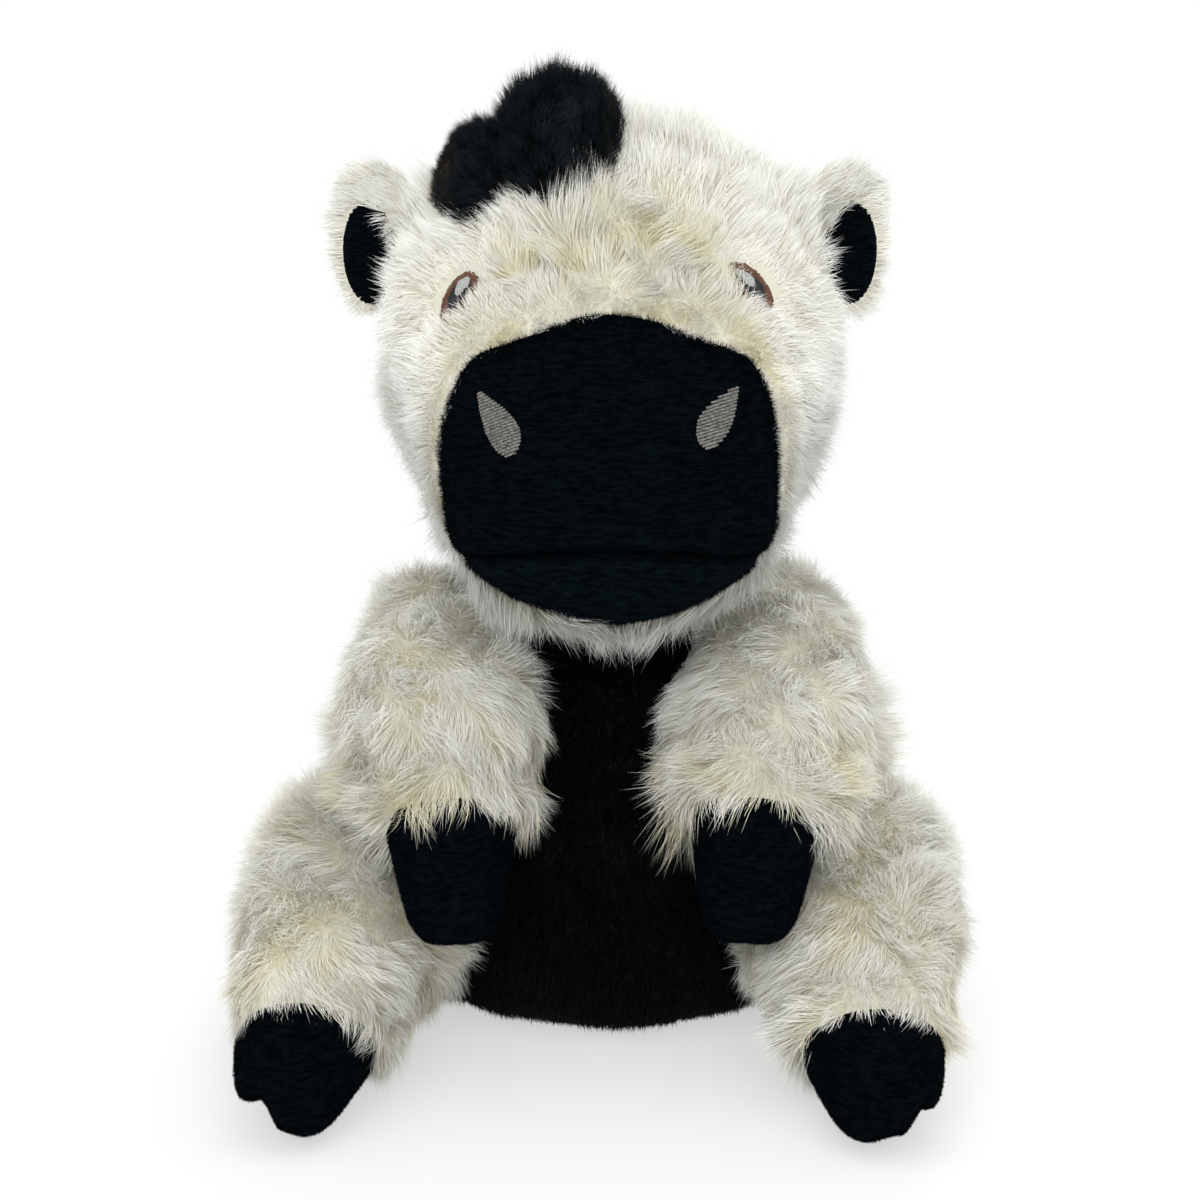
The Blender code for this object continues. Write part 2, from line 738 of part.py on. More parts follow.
def limb(word, shares, length, radius, yaw, start, pivot, seam_share, seam_pitch, root_share, toe_share):
    """Make a limb's sleeve, hoof and filling about its joint."""
    mesh = limb_cage(
        word + "_cage", shares, length, radius, yaw, root_share, toe_share, pivot - start
    )
    inside = swell(soften(guide(word + "_inside", mesh.copy(), pivot), COARSE), -SKIN)
    seam = start + limb_point(shares, length, yaw, seam_share)
    ahead = heading(yaw, math.radians(seam_pitch))
    hoof_side = half_space(word + "_hoof_side", seam, ahead, TOY_REACH)
    sleeve_side = half_space(word + "_sleeve_side", seam - ahead * SEWN_GAP, -ahead, TOY_REACH)

    sleeve = soften(piece(word + "_sleeve", mesh.copy(), pivot, CREAM_PILE), COARSE)
    cut(sleeve, inside)
    keep(sleeve, sleeve_side)
    cut(sleeve, body_outside)

    hoof = soften(piece(word + "_hoof", mesh.copy(), pivot, BLACK_VELOUR), COARSE)
    cut(hoof, inside)
    keep(hoof, hoof_side)

    filling = soften(piece(word + "_filling", mesh.copy(), pivot, FIBREFILL), COARSE)
    swell(filling, -SKIN - FILL_GAP)
    cut(filling, body_outside)


for side, word, turn_in in ((LEFT, "left", ARM_YAW_LEFT), (RIGHT, "right", ARM_YAW_RIGHT)):
    start = Vector((side * ARM_X, ARM_Y, ARM_Z))
    pivot = start + Vector((-side * SHOULDER_IN, SHOULDER_BACK, SHOULDER_RISE))
    limb(
        "arm_" + word, ARM_SHARES, ARM_LENGTH, ARM_RADIUS, math.radians(side * turn_in),
        start, pivot, CUFF_SHARE, CUFF_PITCH, ARM_ROOT_SHARE, ARM_TOE_SHARE,
    )

leg_rows = ((LEFT, "left", LEG_YAW_LEFT, LEG_Y_LEFT), (RIGHT, "right", LEG_YAW_RIGHT, LEG_Y_RIGHT))
for side, word, splay, back in leg_rows:
    start = Vector((side * LEG_X, back, LEG_Z))
    pivot = start + Vector((-side * HIP_IN, HIP_BACK, 0.0))
    limb(
        "leg_" + word, LEG_SHARES, LEG_LENGTH, LEG_RADIUS, math.radians(side * splay),
        start, pivot, ANKLE_SHARE, ANKLE_PITCH, LEG_ROOT_SHARE, LEG_TOE_SHARE,
    )


# Tail, hanging down the back from its seam

tail_root = Vector((0.0, BODY_DEPTH / 2 + TAIL_RADIUS + TAIL_SEAT, TAIL_Z))
curve = bpy.data.curves.new("tail_path", "CURVE")
curve.dimensions = "3D"
curve.bevel_depth = TAIL_RADIUS
curve.bevel_resolution = 2
curve.use_fill_caps = True
spline = curve.splines.new("POLY")
spline.points.add(TAIL_STEPS - 1)
for i, point in enumerate(spline.points):
    point.co = (0.0, 0.0, -TAIL_LENGTH * i / (TAIL_STEPS - 1), 1.0)
tail_cord = bpy.data.objects.new("tail_cord", curve)
tail_cord.location = tail_root
toy.objects.link(tail_cord)
curve.materials.append(CREAM_PILE)

tuft_rings = []
for share, width in TAIL_TUFT_SHARES:
    radius = TAIL_TUFT_RADIUS * width * ring_swell(TUFT_SIDES)
    centre = Vector((0.0, 0.0, -TAIL_LENGTH - SEWN_GAP - TAIL_TUFT_LENGTH * share))
    tuft_rings.append([centre + Vector((radius * u, radius * v, 0.0)) for u, v in circle_shares(TUFT_SIDES)])
tuft_top = Vector((0.0, 0.0, -TAIL_LENGTH - SEWN_GAP))
tuft_cage = cage("tail_tuft", tuft_rings, tuft_top, tuft_top - Vector((0.0, 0.0, TAIL_TUFT_LENGTH)))
tail_tuft = soften(piece("tail_tuft", tuft_cage, tail_root, BLACK_PILE), COARSE)
cut(tail_tuft, body_outside)
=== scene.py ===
import math

import bmesh
import bpy
import numpy as np
from mathutils import Matrix, Vector
from mathutils.bvhtree import BVHTree


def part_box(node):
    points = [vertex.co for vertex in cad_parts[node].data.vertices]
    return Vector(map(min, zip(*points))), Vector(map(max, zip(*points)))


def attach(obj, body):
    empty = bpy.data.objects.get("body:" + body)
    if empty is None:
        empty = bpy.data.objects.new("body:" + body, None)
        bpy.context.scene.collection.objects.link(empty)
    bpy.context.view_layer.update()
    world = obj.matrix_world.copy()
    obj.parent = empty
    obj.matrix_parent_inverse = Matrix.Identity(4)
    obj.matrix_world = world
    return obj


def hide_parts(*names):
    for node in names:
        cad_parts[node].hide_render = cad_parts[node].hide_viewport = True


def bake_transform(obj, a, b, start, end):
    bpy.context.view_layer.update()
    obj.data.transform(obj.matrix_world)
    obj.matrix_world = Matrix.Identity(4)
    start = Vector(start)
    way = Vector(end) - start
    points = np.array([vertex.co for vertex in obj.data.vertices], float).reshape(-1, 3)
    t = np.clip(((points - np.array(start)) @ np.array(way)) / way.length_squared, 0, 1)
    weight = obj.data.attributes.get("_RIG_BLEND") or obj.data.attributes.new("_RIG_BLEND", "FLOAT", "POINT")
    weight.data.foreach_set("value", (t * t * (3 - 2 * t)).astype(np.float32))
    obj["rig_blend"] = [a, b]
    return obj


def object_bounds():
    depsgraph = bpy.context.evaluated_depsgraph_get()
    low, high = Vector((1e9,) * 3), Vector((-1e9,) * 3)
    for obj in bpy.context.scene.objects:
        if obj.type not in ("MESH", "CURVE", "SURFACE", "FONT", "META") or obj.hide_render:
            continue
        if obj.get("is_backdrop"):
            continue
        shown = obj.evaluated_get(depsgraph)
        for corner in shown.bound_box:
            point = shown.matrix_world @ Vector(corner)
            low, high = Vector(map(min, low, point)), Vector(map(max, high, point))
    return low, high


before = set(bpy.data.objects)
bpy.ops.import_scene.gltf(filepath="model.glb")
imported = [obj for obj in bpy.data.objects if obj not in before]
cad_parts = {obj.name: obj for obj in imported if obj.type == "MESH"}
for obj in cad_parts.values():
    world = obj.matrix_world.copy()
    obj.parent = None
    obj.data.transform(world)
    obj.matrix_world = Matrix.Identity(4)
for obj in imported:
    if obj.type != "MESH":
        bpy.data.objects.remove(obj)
cad_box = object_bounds()


# Body
# A pear of cream long-pile cloth, sewn from panels, turned and stuffed firmly.
# It sits flat on its seat. The pile is knitted into the cloth and combed down.

BODY_HEIGHT = 0.138
BODY_WIDTH = 0.148
BODY_DEPTH = 0.130
BODY_LEAN = 0.006
SEAT_TRIM = 0.0005
DOME_DROP = 0.0016
# height, width, depth and forward lean of each ring, all as shares
BODY_SHARES = (
    (0.000, 0.54, 0.54, -0.3),
    (0.040, 0.80, 0.80, -0.3),
    (0.120, 0.97, 0.95, -0.3),
    (0.320, 1.06, 1.00, -0.6),
    (0.520, 1.12, 0.92, -0.6),
    (0.680, 1.04, 0.82, -0.5),
    (0.840, 0.85, 0.70, -0.2),
    (0.970, 0.42, 0.42, 0.0),
)
BELLY_WIDTH = 0.086
BELLY_FOOT = 0.0035
BELLY_HEIGHT = BODY_HEIGHT * 0.957
# height and width of the belly panel
BELLY_SHARES = (
    (0.00, 0.95), (0.04, 1.12), (0.14, 1.22), (0.28, 1.14), (0.46, 0.90),
    (0.64, 0.76), (0.82, 0.72), (1.00, 0.72),
)
SPOT_PLACE = Vector((0.034, 0.0, BODY_HEIGHT * 0.804))
SPOT_RADIUS = 0.019
FAR_OUTSIDE = -0.05
BODY_PILE = 0.0135
BESIDE_BELLY = 0.004
ON_FLANK = 0.007
# the cloth under the pile is toned yellower and darker, painted shade of the hollows under the pile
CLOTH_TONE = 0.6
# what the cream cloth's pile is like, before a piece asks for something else:
# fibres and tufts per square metre, a fibre's width in metres, the rest as shares
CREAM_HABIT = {
    "fibres": 2.6e6, "tufts": 27000.0, "width": 0.00019, "root_stand": 1.20,
    "tip_stand": 0.40, "ruffle": 0.38, "tuft_ruffle": 0.75, "swirl": 2.7,
    "swirl_scale": 32.0, "sag": 0.20, "frizz": 0.20, "bunching": 0.60,
    "shortest": 0.50, "facing": 1.6, "bends": 2,
}


def sign(operation, turned=False):
    """Make a sign that adds Math, or Vector Math where a side is a vector."""

    def work(self, other):
        sides = (other, self) if turned else (self, other)
        vector = any(
            side.socket.type not in ("VALUE", "INT")
            if isinstance(side, Wire) else not isinstance(side, (int, float))
            for side in sides
        )
        kind = "ShaderNodeVectorMath" if vector else "ShaderNodeMath"
        return self.recipe.add(kind, dict(enumerate(sides)), operation=operation)

    return work


class Wire:
    """A socket in a recipe. A sum written on it adds the nodes that work it out."""

    def __init__(self, recipe, socket):
        self.recipe = recipe
        self.socket = socket

    def of(self, name):
        """Give another output of the same node."""
        return Wire(self.recipe, self.recipe.pick(self.socket.node.outputs, name))

    __add__, __radd__ = sign("ADD"), sign("ADD", True)
    __sub__, __rsub__ = sign("SUBTRACT"), sign("SUBTRACT", True)
    __mul__, __rmul__ = sign("MULTIPLY"), sign("MULTIPLY", True)
    __pow__ = sign("POWER")


class Recipe:
    """A tree of nodes, for a finish or for what grows or is sewn in rows."""

    def __init__(self, tree):
        self.tree = tree
        self.tree.nodes.clear()

    def pick(self, sockets, key):
        """Find a socket that is in use, by its place or name."""
        used = [socket for socket in sockets if socket.enabled]
        if isinstance(key, int):
            return used[key]
        return next(socket for socket in used if socket.name == key)

    def add(self, kind, sockets=None, out=0, **settings):
        """Add a node: its settings first, then the values or wires of its sockets."""
        node = self.tree.nodes.new(kind)
        for name, value in settings.items():
            setattr(node, name, value)
        for key, value in (sockets or {}).items():
            socket = self.pick(node.inputs, key)
            if isinstance(value, Wire):
                self.tree.links.new(value.socket, socket)
            elif socket.type == "VECTOR" and isinstance(value, (int, float)):
                socket.default_value = (value, value, value)
            elif socket.type == "RGBA":
                socket.default_value = (*value, 1.0)
            else:
                socket.default_value = value
        return Wire(self, self.pick(node.outputs, out)) if len(node.outputs) else None

    def mix(self, share, low, high):
        """Blend two colours or vectors."""
        vector = isinstance(low, Wire) and low.socket.type == "VECTOR"
        sockets = {"Factor": share, "A": low, "B": high}
        kind = "VECTOR" if vector else "RGBA"
        return self.add("ShaderNodeMix", sockets, "Result", data_type=kind)

    def between(self, value, low, high, first=0.0, last=1.0):
        """Ease a value from one range into another."""
        sockets = {
            "Value": value, "From Min": low, "From Max": high, "To Min": first, "To Max": last
        }
        return self.add("ShaderNodeMapRange", sockets, interpolation_type="SMOOTHSTEP")

    def noise(self, place, scale, detail=2.0, roughness=0.5, out="Fac"):
        """Add cloudy noise."""
        sockets = {"Vector": place, "Scale": scale, "Detail": detail, "Roughness": roughness}
        return self.add("ShaderNodeTexNoise", sockets, out)


class Finish(Recipe):
    """The recipe of a material with one shader."""

    def __init__(self, name):
        self.material = bpy.data.materials.new(name)
        self.material.use_nodes = True
        super().__init__(self.material.node_tree)
        self.place = self.add("ShaderNodeTexCoord", out="Object")

    def kept(self, *names):
        """Read numbers that are kept for each point of the pile."""
        return [self.add("ShaderNodeAttribute", out="Fac", attribute_name=name) for name in names]

    def bump(self, height, strength, distance):
        """Raise the surface a little."""
        sockets = {"Strength": strength, "Distance": distance, "Height": height}
        return {"Normal": self.add("ShaderNodeBump", sockets, "Normal")}

    def done(self, colour, roughness, specular, more):
        """Feed the shader and give the material."""
        sockets = {
            "Base Color": colour, "Roughness": roughness, "Specular IOR Level": specular, **more
        }
        shader = self.add("ShaderNodeBsdfPrincipled", sockets)
        self.add("ShaderNodeOutputMaterial", {"Surface": shader})
        return self.material


def ring_swell(sides):
    """Give what a ring grows by, so that its softened ring has the asked size."""
    return 3.0 / (2.0 + math.cos(2.0 * math.pi / sides))


def circle_shares(sides):
    """Give a unit ring that starts at the top."""
    angles = [math.pi * (0.5 - 2.0 * i / sides) for i in range(sides)]
    return [(math.cos(angle), math.sin(angle)) for angle in angles]


def plain_mesh(obj):
    """Turn an object and its modifiers into a mesh, and drop the object."""
    graph = bpy.context.evaluated_depsgraph_get()
    mesh = bpy.data.meshes.new_from_object(
        obj.evaluated_get(graph), preserve_all_data_layers=True, depsgraph=graph
    )
    bpy.data.objects.remove(obj, do_unlink=True)
    return mesh


def placed(name, mesh, material=None):
    """Put a mesh in the scene as one named piece."""
    obj = bpy.data.objects.new(name, mesh)
    bpy.context.scene.collection.objects.link(obj)
    mesh.name = name
    if material:
        mesh.materials.clear()
        mesh.materials.append(material)
    mesh.shade_smooth()
    return obj


def mesh_of(bm, name):
    """Give what was built as a mesh."""
    mesh = bpy.data.meshes.new(name)
    bm.to_mesh(mesh)
    bm.free()
    return mesh


def stuffed_form(name, rings, first_pole, last_pole, level):
    """Loft a cage through rings, close it on two poles and round it."""
    bm = bmesh.new()
    rows = [[bm.verts.new(point) for point in ring] for ring in rings]
    sides = len(rows[0])
    for low, high in zip(rows, rows[1:]):
        for i in range(sides):
            j = (i + 1) % sides
            bm.faces.new((low[i], low[j], high[j], high[i]))
    for row, pole in ((rows[0], first_pole), (rows[-1], last_pole)):
        tip = bm.verts.new(pole)
        for i in range(sides):
            bm.faces.new((row[i], row[(i + 1) % sides], tip))
    bmesh.ops.recalc_face_normals(bm, faces=bm.faces)
    obj = placed(name, mesh_of(bm, name))
    soft = obj.modifiers.new("soften", "SUBSURF")
    soft.levels = soft.render_levels = level
    return plain_mesh(obj)


def vertices_of(mesh):
    """Give a mesh's points and their outward normals as arrays."""
    arrays = []
    for field in ("co", "normal"):
        values = np.empty(len(mesh.vertices) * 3)
        mesh.vertices.foreach_get(field, values)
        arrays.append(values.reshape(-1, 3))
    return arrays


def surface_of(mesh):
    """Give a mesh's surface, to look up what lies nearest on it."""
    faces = [tuple(face.vertices) for face in mesh.polygons]
    return BVHTree.FromPolygons([vertex.co for vertex in mesh.vertices], faces)


def moved(mesh, points):
    """Put a mesh's points where an array says."""
    mesh.vertices.foreach_set("co", np.asarray(points, dtype=np.float32).ravel())
    mesh.update()
    return mesh


def written(mesh, name, values):
    """Keep a number or a vector for each point of a mesh."""
    values = np.asarray(values, dtype=np.float32)
    if values.ndim == 0:
        values = np.full(len(mesh.vertices), values)
    kind, field = ("FLOAT_VECTOR", "vector") if values.ndim == 2 else ("FLOAT", "value")
    attribute = mesh.attributes.get(name) or mesh.attributes.new(name, kind, "POINT")
    attribute.data.foreach_set(field, values.ravel())


def eased(values, low, high):
    """Ease numbers from 0 at low to 1 at high."""
    share = np.clip((values - low) / (high - low), 0.0, 1.0)
    return share * share * (3.0 - 2.0 * share)


def along_skin(directions, normals):
    """Lay directions on the skin, each one unit long."""
    directions = np.asarray(directions)
    flat = directions - normals * np.sum(directions * normals, axis=1)[:, None]
    return flat / np.maximum(np.linalg.norm(flat, axis=1)[:, None], 1e-9)


def started(name, numbers):
    """Start a tree that works on a mesh: its recipe, and what asks for an input."""
    tree = bpy.data.node_groups.new(name, "GeometryNodeTree")
    recipe = Recipe(tree)
    kinds = {"Geometry": "Geometry", "bends": "Int", "seed": "Int", "dye": "Material"}
    tree.interface.new_socket("Geometry", in_out="OUTPUT", socket_type="NodeSocketGeometry")
    for asked in ("Geometry", *numbers, "dye"):
        kind = "NodeSocket" + kinds.get(asked, "Float")
        tree.interface.new_socket(asked, in_out="INPUT", socket_type=kind)
    return recipe, recipe.add("NodeGroupInput").of


def grown(name, mesh, recipe, wanted):
    """Run a tree on a mesh, and give the piece that it makes."""
    obj = placed(name + "_bed", mesh)
    growth = obj.modifiers.new("grown", "NODES")
    growth.node_group = recipe.tree
    for item in recipe.tree.interface.items_tree:
        if item.in_out == "INPUT" and item.name in wanted:
            growth[item.identifier] = wanted[item.name]
    return placed(name, plain_mesh(obj), wanted["dye"])


def pile_recipe():
    """Make the tree that grows pile: bent tapering fibres that bunch into tufts."""
    recipe, asked = started("pile", (*CREAM_HABIT, "seed"))

    def kept(name, kind="FLOAT"):
        return recipe.add("GeometryNodeInputNamedAttribute", {"Name": name}, data_type=kind)

    def way(name):
        return kept(name, "FLOAT_VECTOR")

    def keep(geometry, name, value, kind="FLOAT"):
        sockets = {"Geometry": geometry, "Name": name, "Value": value}
        return recipe.add(
            "GeometryNodeStoreNamedAttribute", sockets, data_type=kind, domain="POINT"
        )

    def vector(operation, *sides):
        return recipe.add("ShaderNodeVectorMath", dict(enumerate(sides)), operation=operation)

    def place():
        return recipe.add("GeometryNodeInputPosition")

    def chance(low, high, seed, kind="FLOAT"):
        sockets = {"Min": low, "Max": high, "Seed": asked("seed") + seed}
        return recipe.add("FunctionNodeRandomValue", sockets, data_type=kind)

    def scatter(seed):
        return chance((-1.0, -1.0, -1.0), (1.0, 1.0, 1.0), seed, "FLOAT_VECTOR")

    def split(wire):
        return recipe.add("ShaderNodeSeparateXYZ", {"Vector": wire})

    def put(geometry, position):
        return recipe.add("GeometryNodeSetPosition", {"Geometry": geometry, "Position": position})

    def sown(per_area, seed, ruffle):
        """Scatter roots on the skin and settle which way each fibre leaves and ends."""
        density = kept("grow") * per_area
        sockets = {"Mesh": asked("Geometry"), "Density": density, "Seed": asked("seed") + seed}
        rows = recipe.add(
            "GeometryNodeDistributePointsOnFaces", sockets, distribute_method="RANDOM"
        )
        out = rows.of("Normal")
        root = place()
        comb = way("comb")
        cloud = recipe.noise(root, asked("swirl_scale"), 1.0, out="Color") - (0.5, 0.5, 0.5)
        stray = cloud * asked("swirl") + scatter(seed + 1) * ruffle
        start = vector("NORMALIZE", out * asked("root_stand") + comb + stray)
        droop = recipe.add("ShaderNodeCombineXYZ", {"Z": asked("sag") * -1.0})
        finish = vector("NORMALIZE", out * asked("tip_stand") + comb + stray * 1.4 + droop)
        lumps = recipe.noise(root, asked("swirl_scale") * 2.2)
        lumps = recipe.between(lumps, 0.25, 0.75, 0.70, 1.18)
        reach = kept("long") * chance(asked("shortest"), 1.0, seed + 2) * lumps
        for name, value in (("root", root), ("out", out), ("start", start), ("finish", finish)):
            rows = keep(rows, name, value, "FLOAT_VECTOR")
        return keep(rows, "reach", reach)

    fibres = sown(asked("fibres"), 0, asked("ruffle"))
    tufts = keep(sown(asked("tufts"), 10, asked("tuft_ruffle")), "shade", chance(0.0, 1.0, 20))

    # Each fibre learns which tuft it bunches with
    sockets = {"Geometry": tufts, "Sample Position": place()}
    nearest = recipe.add("GeometryNodeSampleNearest", sockets, domain="POINT")
    for name in ("root", "start", "finish", "reach", "shade"):
        kind = "FLOAT" if name in ("reach", "shade") else "FLOAT_VECTOR"
        sockets = {"Geometry": tufts, "Value": kept(name, kind), "Index": nearest}
        found = recipe.add("GeometryNodeSampleIndex", sockets, data_type=kind, domain="POINT")
        fibres = keep(fibres, "tuft_" + name, found, kind)
    fibres = keep(fibres, "bunch", chance(0.35, 1.0, 21) * asked("bunching"))
    fibres = keep(fibres, "shade", chance(0.0, 1.0, 22) * 0.45 + kept("tuft_shade") * 0.55)
    fibres = keep(fibres, "stray", scatter(23), "FLOAT_VECTOR")
    fibres = keep(fibres, "roll", scatter(24), "FLOAT_VECTOR")

    # The fibre, a flat blade that narrows to a point
    sockets = {"Size X": 1.0, "Size Y": 1.0, "Vertices X": 2, "Vertices Y": asked("bends") + 1}
    blade = recipe.add("GeometryNodeMeshGrid", sockets, "Mesh")
    corner = split(place())
    rise = corner.of("Y") + 0.5
    taper = 1.0 - rise ** 3.0
    blade = put(blade, recipe.add("ShaderNodeCombineXYZ", {"X": corner.of("X") * taper, "Y": rise}))
    blade = recipe.add("GeometryNodeMergeByDistance", {"Geometry": blade, "Distance": 0.001})
    blade = keep(blade, "across", split(place()).of("X"))
    blade = keep(blade, "along", split(place()).of("Y"))
    fur = recipe.add("GeometryNodeInstanceOnPoints", {"Points": fibres, "Instance": blade})
    fur = recipe.add("GeometryNodeRealizeInstances", {"Geometry": fur})

    # Bend every fibre, and draw it towards its tuft
    along = kept("along")

    def bend(word):
        start = way(word + "start")
        turning = start * along + (way(word + "finish") - start) * (along * along * 0.5)
        return turning * kept(word + "reach")

    root = way("root")
    own = root + bend("") + way("stray") * (along * along * kept("reach") * asked("frizz"))
    tuft_root = way("tuft_root")
    shared = tuft_root + bend("tuft_") + (root - tuft_root) * 0.22
    path = recipe.mix(kept("bunch") * along ** 1.3, own, shared)
    heading = way("start") + (way("finish") - way("start")) * along
    facing = way("out") * asked("facing") + way("roll")
    wide = vector("NORMALIZE", vector("CROSS_PRODUCT", heading, facing))
    corner = split(path + wide * (kept("across") * asked("width")))
    above_floor = recipe.add("ShaderNodeMath", {0: corner.of("Z"), 1: 0.0003}, operation="MAXIMUM")
    sockets = {"X": corner.of("X"), "Y": corner.of("Y"), "Z": above_floor}
    fur = put(fur, recipe.add("ShaderNodeCombineXYZ", sockets))
    for name in (
        "root", "out", "start", "finish", "reach", "tuft_root", "tuft_start", "tuft_finish",
        "tuft_reach", "tuft_shade", "bunch", "stray", "roll", "across", "comb", "long", "grow",
    ):
        fur = recipe.add("GeometryNodeRemoveAttribute", {"Geometry": fur, "Name": name})
    fur = recipe.add("GeometryNodeSetMaterial", {"Geometry": fur, "Material": asked("dye")})
    recipe.add("NodeGroupOutput", {"Geometry": fur})
    return recipe


PILE = pile_recipe()


def grow_pile(name, skin, habit, seed, dye, comb, long, grow, tone=0.0):
    """Grow pile on a copy of a skin and give it as one plain piece."""
    bed = skin.copy()
    grow = np.clip(grow, 0.0, 1.0)
    for word, values in (("comb", comb), ("long", long), ("grow", grow), ("tone", tone)):
        written(bed, word, values)
    pile = grown(name, bed, PILE, dict(habit, seed=seed, dye=dye))
    bpy.data.meshes.remove(bed)
    return pile


def cream_finish():
    """Colour cream pile, with painted shade that makes it warm and darker at the roots, and nearly white at
    the tips.
    """
    made = Finish("cream_pile_finish")
    along, shade, tone = made.kept("along", "shade", "tone")
    cloud = made.noise(made.place, 46.0, 3.0, 0.6)
    matted = made.between(cloud, 0.47, 0.64)
    # painted shade: the roots, deep in the pile, get a darker, warmer cream than the tips
    depth = made.between(along, 0.0, 0.85)
    cream = made.mix(depth, (0.84, 0.825, 0.71), (0.95, 0.95, 0.925))
    stain_and_shade_colour = made.mix(depth, (0.66, 0.585, 0.33), (0.89, 0.86, 0.65))
    # a tone above zero yellows and darkens the pile, for stains and for painted shade; a tone below zero
    # darkens it as painted shade only
    stain_and_shade = made.between(tone, 0.0, 1.0)
    painted_shade = made.between(tone * -1.0, 0.0, 1.0)
    mixed_colour = made.mix(stain_and_shade * 0.20 + matted * (0.08 + stain_and_shade * 0.62), cream, stain_and_shade_colour)
    bright = (0.87 + shade * 0.16) * (1.0 - painted_shade * 0.34 - stain_and_shade * 0.11)
    sheen = {"Sheen Weight": 0.12, "Sheen Roughness": 0.6}
    return made.done(mixed_colour * bright, 0.78 + cloud * 0.12, 0.25, sheen)


CREAM = cream_finish()


def body_ring(share):
    """Give one level ring of the body."""
    height, width, depth, lean = share
    half_width = BODY_WIDTH / 2 * width * ring_swell(8)
    half_depth = BODY_DEPTH / 2 * depth * ring_swell(8)
    centre = Vector((0.0, -BODY_LEAN * lean, height * BODY_HEIGHT - SEAT_TRIM))
    return [centre + Vector((half_width * u, half_depth * v, 0.0)) for u, v in circle_shares(8)]


def within_belly(places):
    """Give how far inside the belly panel's edge each place is, negative outside."""
    rows = np.array(BELLY_SHARES)
    height = (places[:, 2] - BELLY_FOOT) / BELLY_HEIGHT
    half = np.interp(height, rows[:, 0], rows[:, 1]) * BELLY_WIDTH / 2
    return np.where(places[:, 1] < -BODY_LEAN, half - np.abs(places[:, 0]), FAR_OUTSIDE)


def within_spot(places):
    """Give how far inside the back spot's edge each place is."""
    gap = np.hypot(places[:, 0] - SPOT_PLACE.x, places[:, 2] - SPOT_PLACE.z)
    return np.where(places[:, 1] > 0.0, SPOT_RADIUS - gap, FAR_OUTSIDE)


body_form = stuffed_form(
    "body_form",
    [body_ring(share) for share in BODY_SHARES],
    Vector((0.0, 0.0, -SEAT_TRIM)),
    Vector((0.0, 0.0, BODY_HEIGHT - SEAT_TRIM)),
    4,
)
body_points, _ = vertices_of(body_form)
body_points[:, 2] = np.maximum(body_points[:, 2], 0.0)
body_points[:, 2] -= DOME_DROP * eased(body_points[:, 2], 0.124, 0.133)
body_points, body_normals = vertices_of(moved(body_form, body_points))

body_skin = placed("body_skin", body_form.copy(), CREAM)
written(body_skin.data, "tone", CLOTH_TONE)
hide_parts("body_plush")
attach(body_skin, "torso")

across, _, up = body_points.T
down = along_skin((0.0, 0.0, -1.0), body_normals)
in_belly = within_belly(body_points)
in_spot = within_spot(body_points)
bare = np.maximum(eased(in_belly, -0.0005, 0.0015), eased(in_spot, 0.0, 0.0015))
seat = 1.0 - eased(up, 0.0012, 0.005)
collar = eased(up, 0.121, 0.129)
cover = (1.0 - bare) * (1.0 - seat) * (1.0 - collar)
flank = eased(np.abs(across), 0.046, 0.062) * eased(up, 0.045, 0.066) * eased(up, 0.104, 0.090)
length = BODY_PILE - BESIDE_BELLY * eased(-in_belly, 0.010, 0.0) + ON_FLANK * flank
down = down * (1.0 - 0.60 * flank)[:, None]
for word, half, seed in (("left", across < 0.0, 11), ("right", across >= 0.0, 12)):
    body_pile = grow_pile(
        "body_pile_" + word, body_form, CREAM_HABIT, seed, CREAM, down, length, cover * half, 0.5
    )
    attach(body_pile, "torso")


# Belly panel and back spot
# Panels of black pile cloth sewn into the cream body: one from under the chin
# to the seat, one a round patch high on the back. Their pile is shorter.

PANEL_CLOTH = 0.0003
BELLY_PILE = 0.0052
SPOT_PILE = 0.0105
BLACK_HABIT = dict(
    CREAM_HABIT, fibres=4.6e6, tufts=90000.0, width=0.00028, root_stand=1.3, tip_stand=0.45,
    ruffle=0.45, tuft_ruffle=0.5, swirl=1.0, sag=0.1, bunching=0.45, facing=0.8,
)


def dark_finish(name, root, tip, tint):
    """Dye black pile, its tips a little paler and in places tinted."""
    made = Finish(name)
    along, shade, tone = made.kept("along", "shade", "tone")
    cloud = made.noise(made.place, 60.0, 3.0, 0.6)
    depth = made.between(along, 0.3, 1.0)
    plain = made.mix(depth * (0.4 + cloud * 0.6), root, tip)
    tinted = made.mix(depth, root, tint)
    mixed_colour = made.mix(tone * made.between(cloud + shade * 0.3, 0.45, 0.75), plain, tinted)
    return made.done(mixed_colour * (0.75 + shade * 0.5), 0.50 + cloud * 0.2, 0.07, {})


BLACK = dark_finish(
    "black_pile_finish", (0.0004, 0.0009, 0.0014), (0.0010, 0.0020, 0.0031), (0.040, 0.030, 0.020)
)


def panel_of(name, form, inside, lift, material):
    """Cut a panel out of a form's surface and give it the thickness of cloth."""
    bm = bmesh.new()
    bm.from_mesh(form)
    bm.verts.ensure_lookup_table()
    far = [face for face in bm.faces if max(inside[v.index] for v in face.verts) < 0.0]
    bmesh.ops.delete(bm, geom=far, context="FACES")
    for vert in bm.verts:
        vert.co += vert.normal * lift
    extruded = bmesh.ops.extrude_face_region(bm, geom=bm.faces[:])
    for item in extruded["geom"]:
        if isinstance(item, bmesh.types.BMVert):
            item.co -= item.normal * (lift * 2)
    for vert in bm.verts:
        vert.co.z = max(vert.co.z, 0.0)
    bmesh.ops.recalc_face_normals(bm, faces=bm.faces)
    return placed(name, mesh_of(bm, name), material)


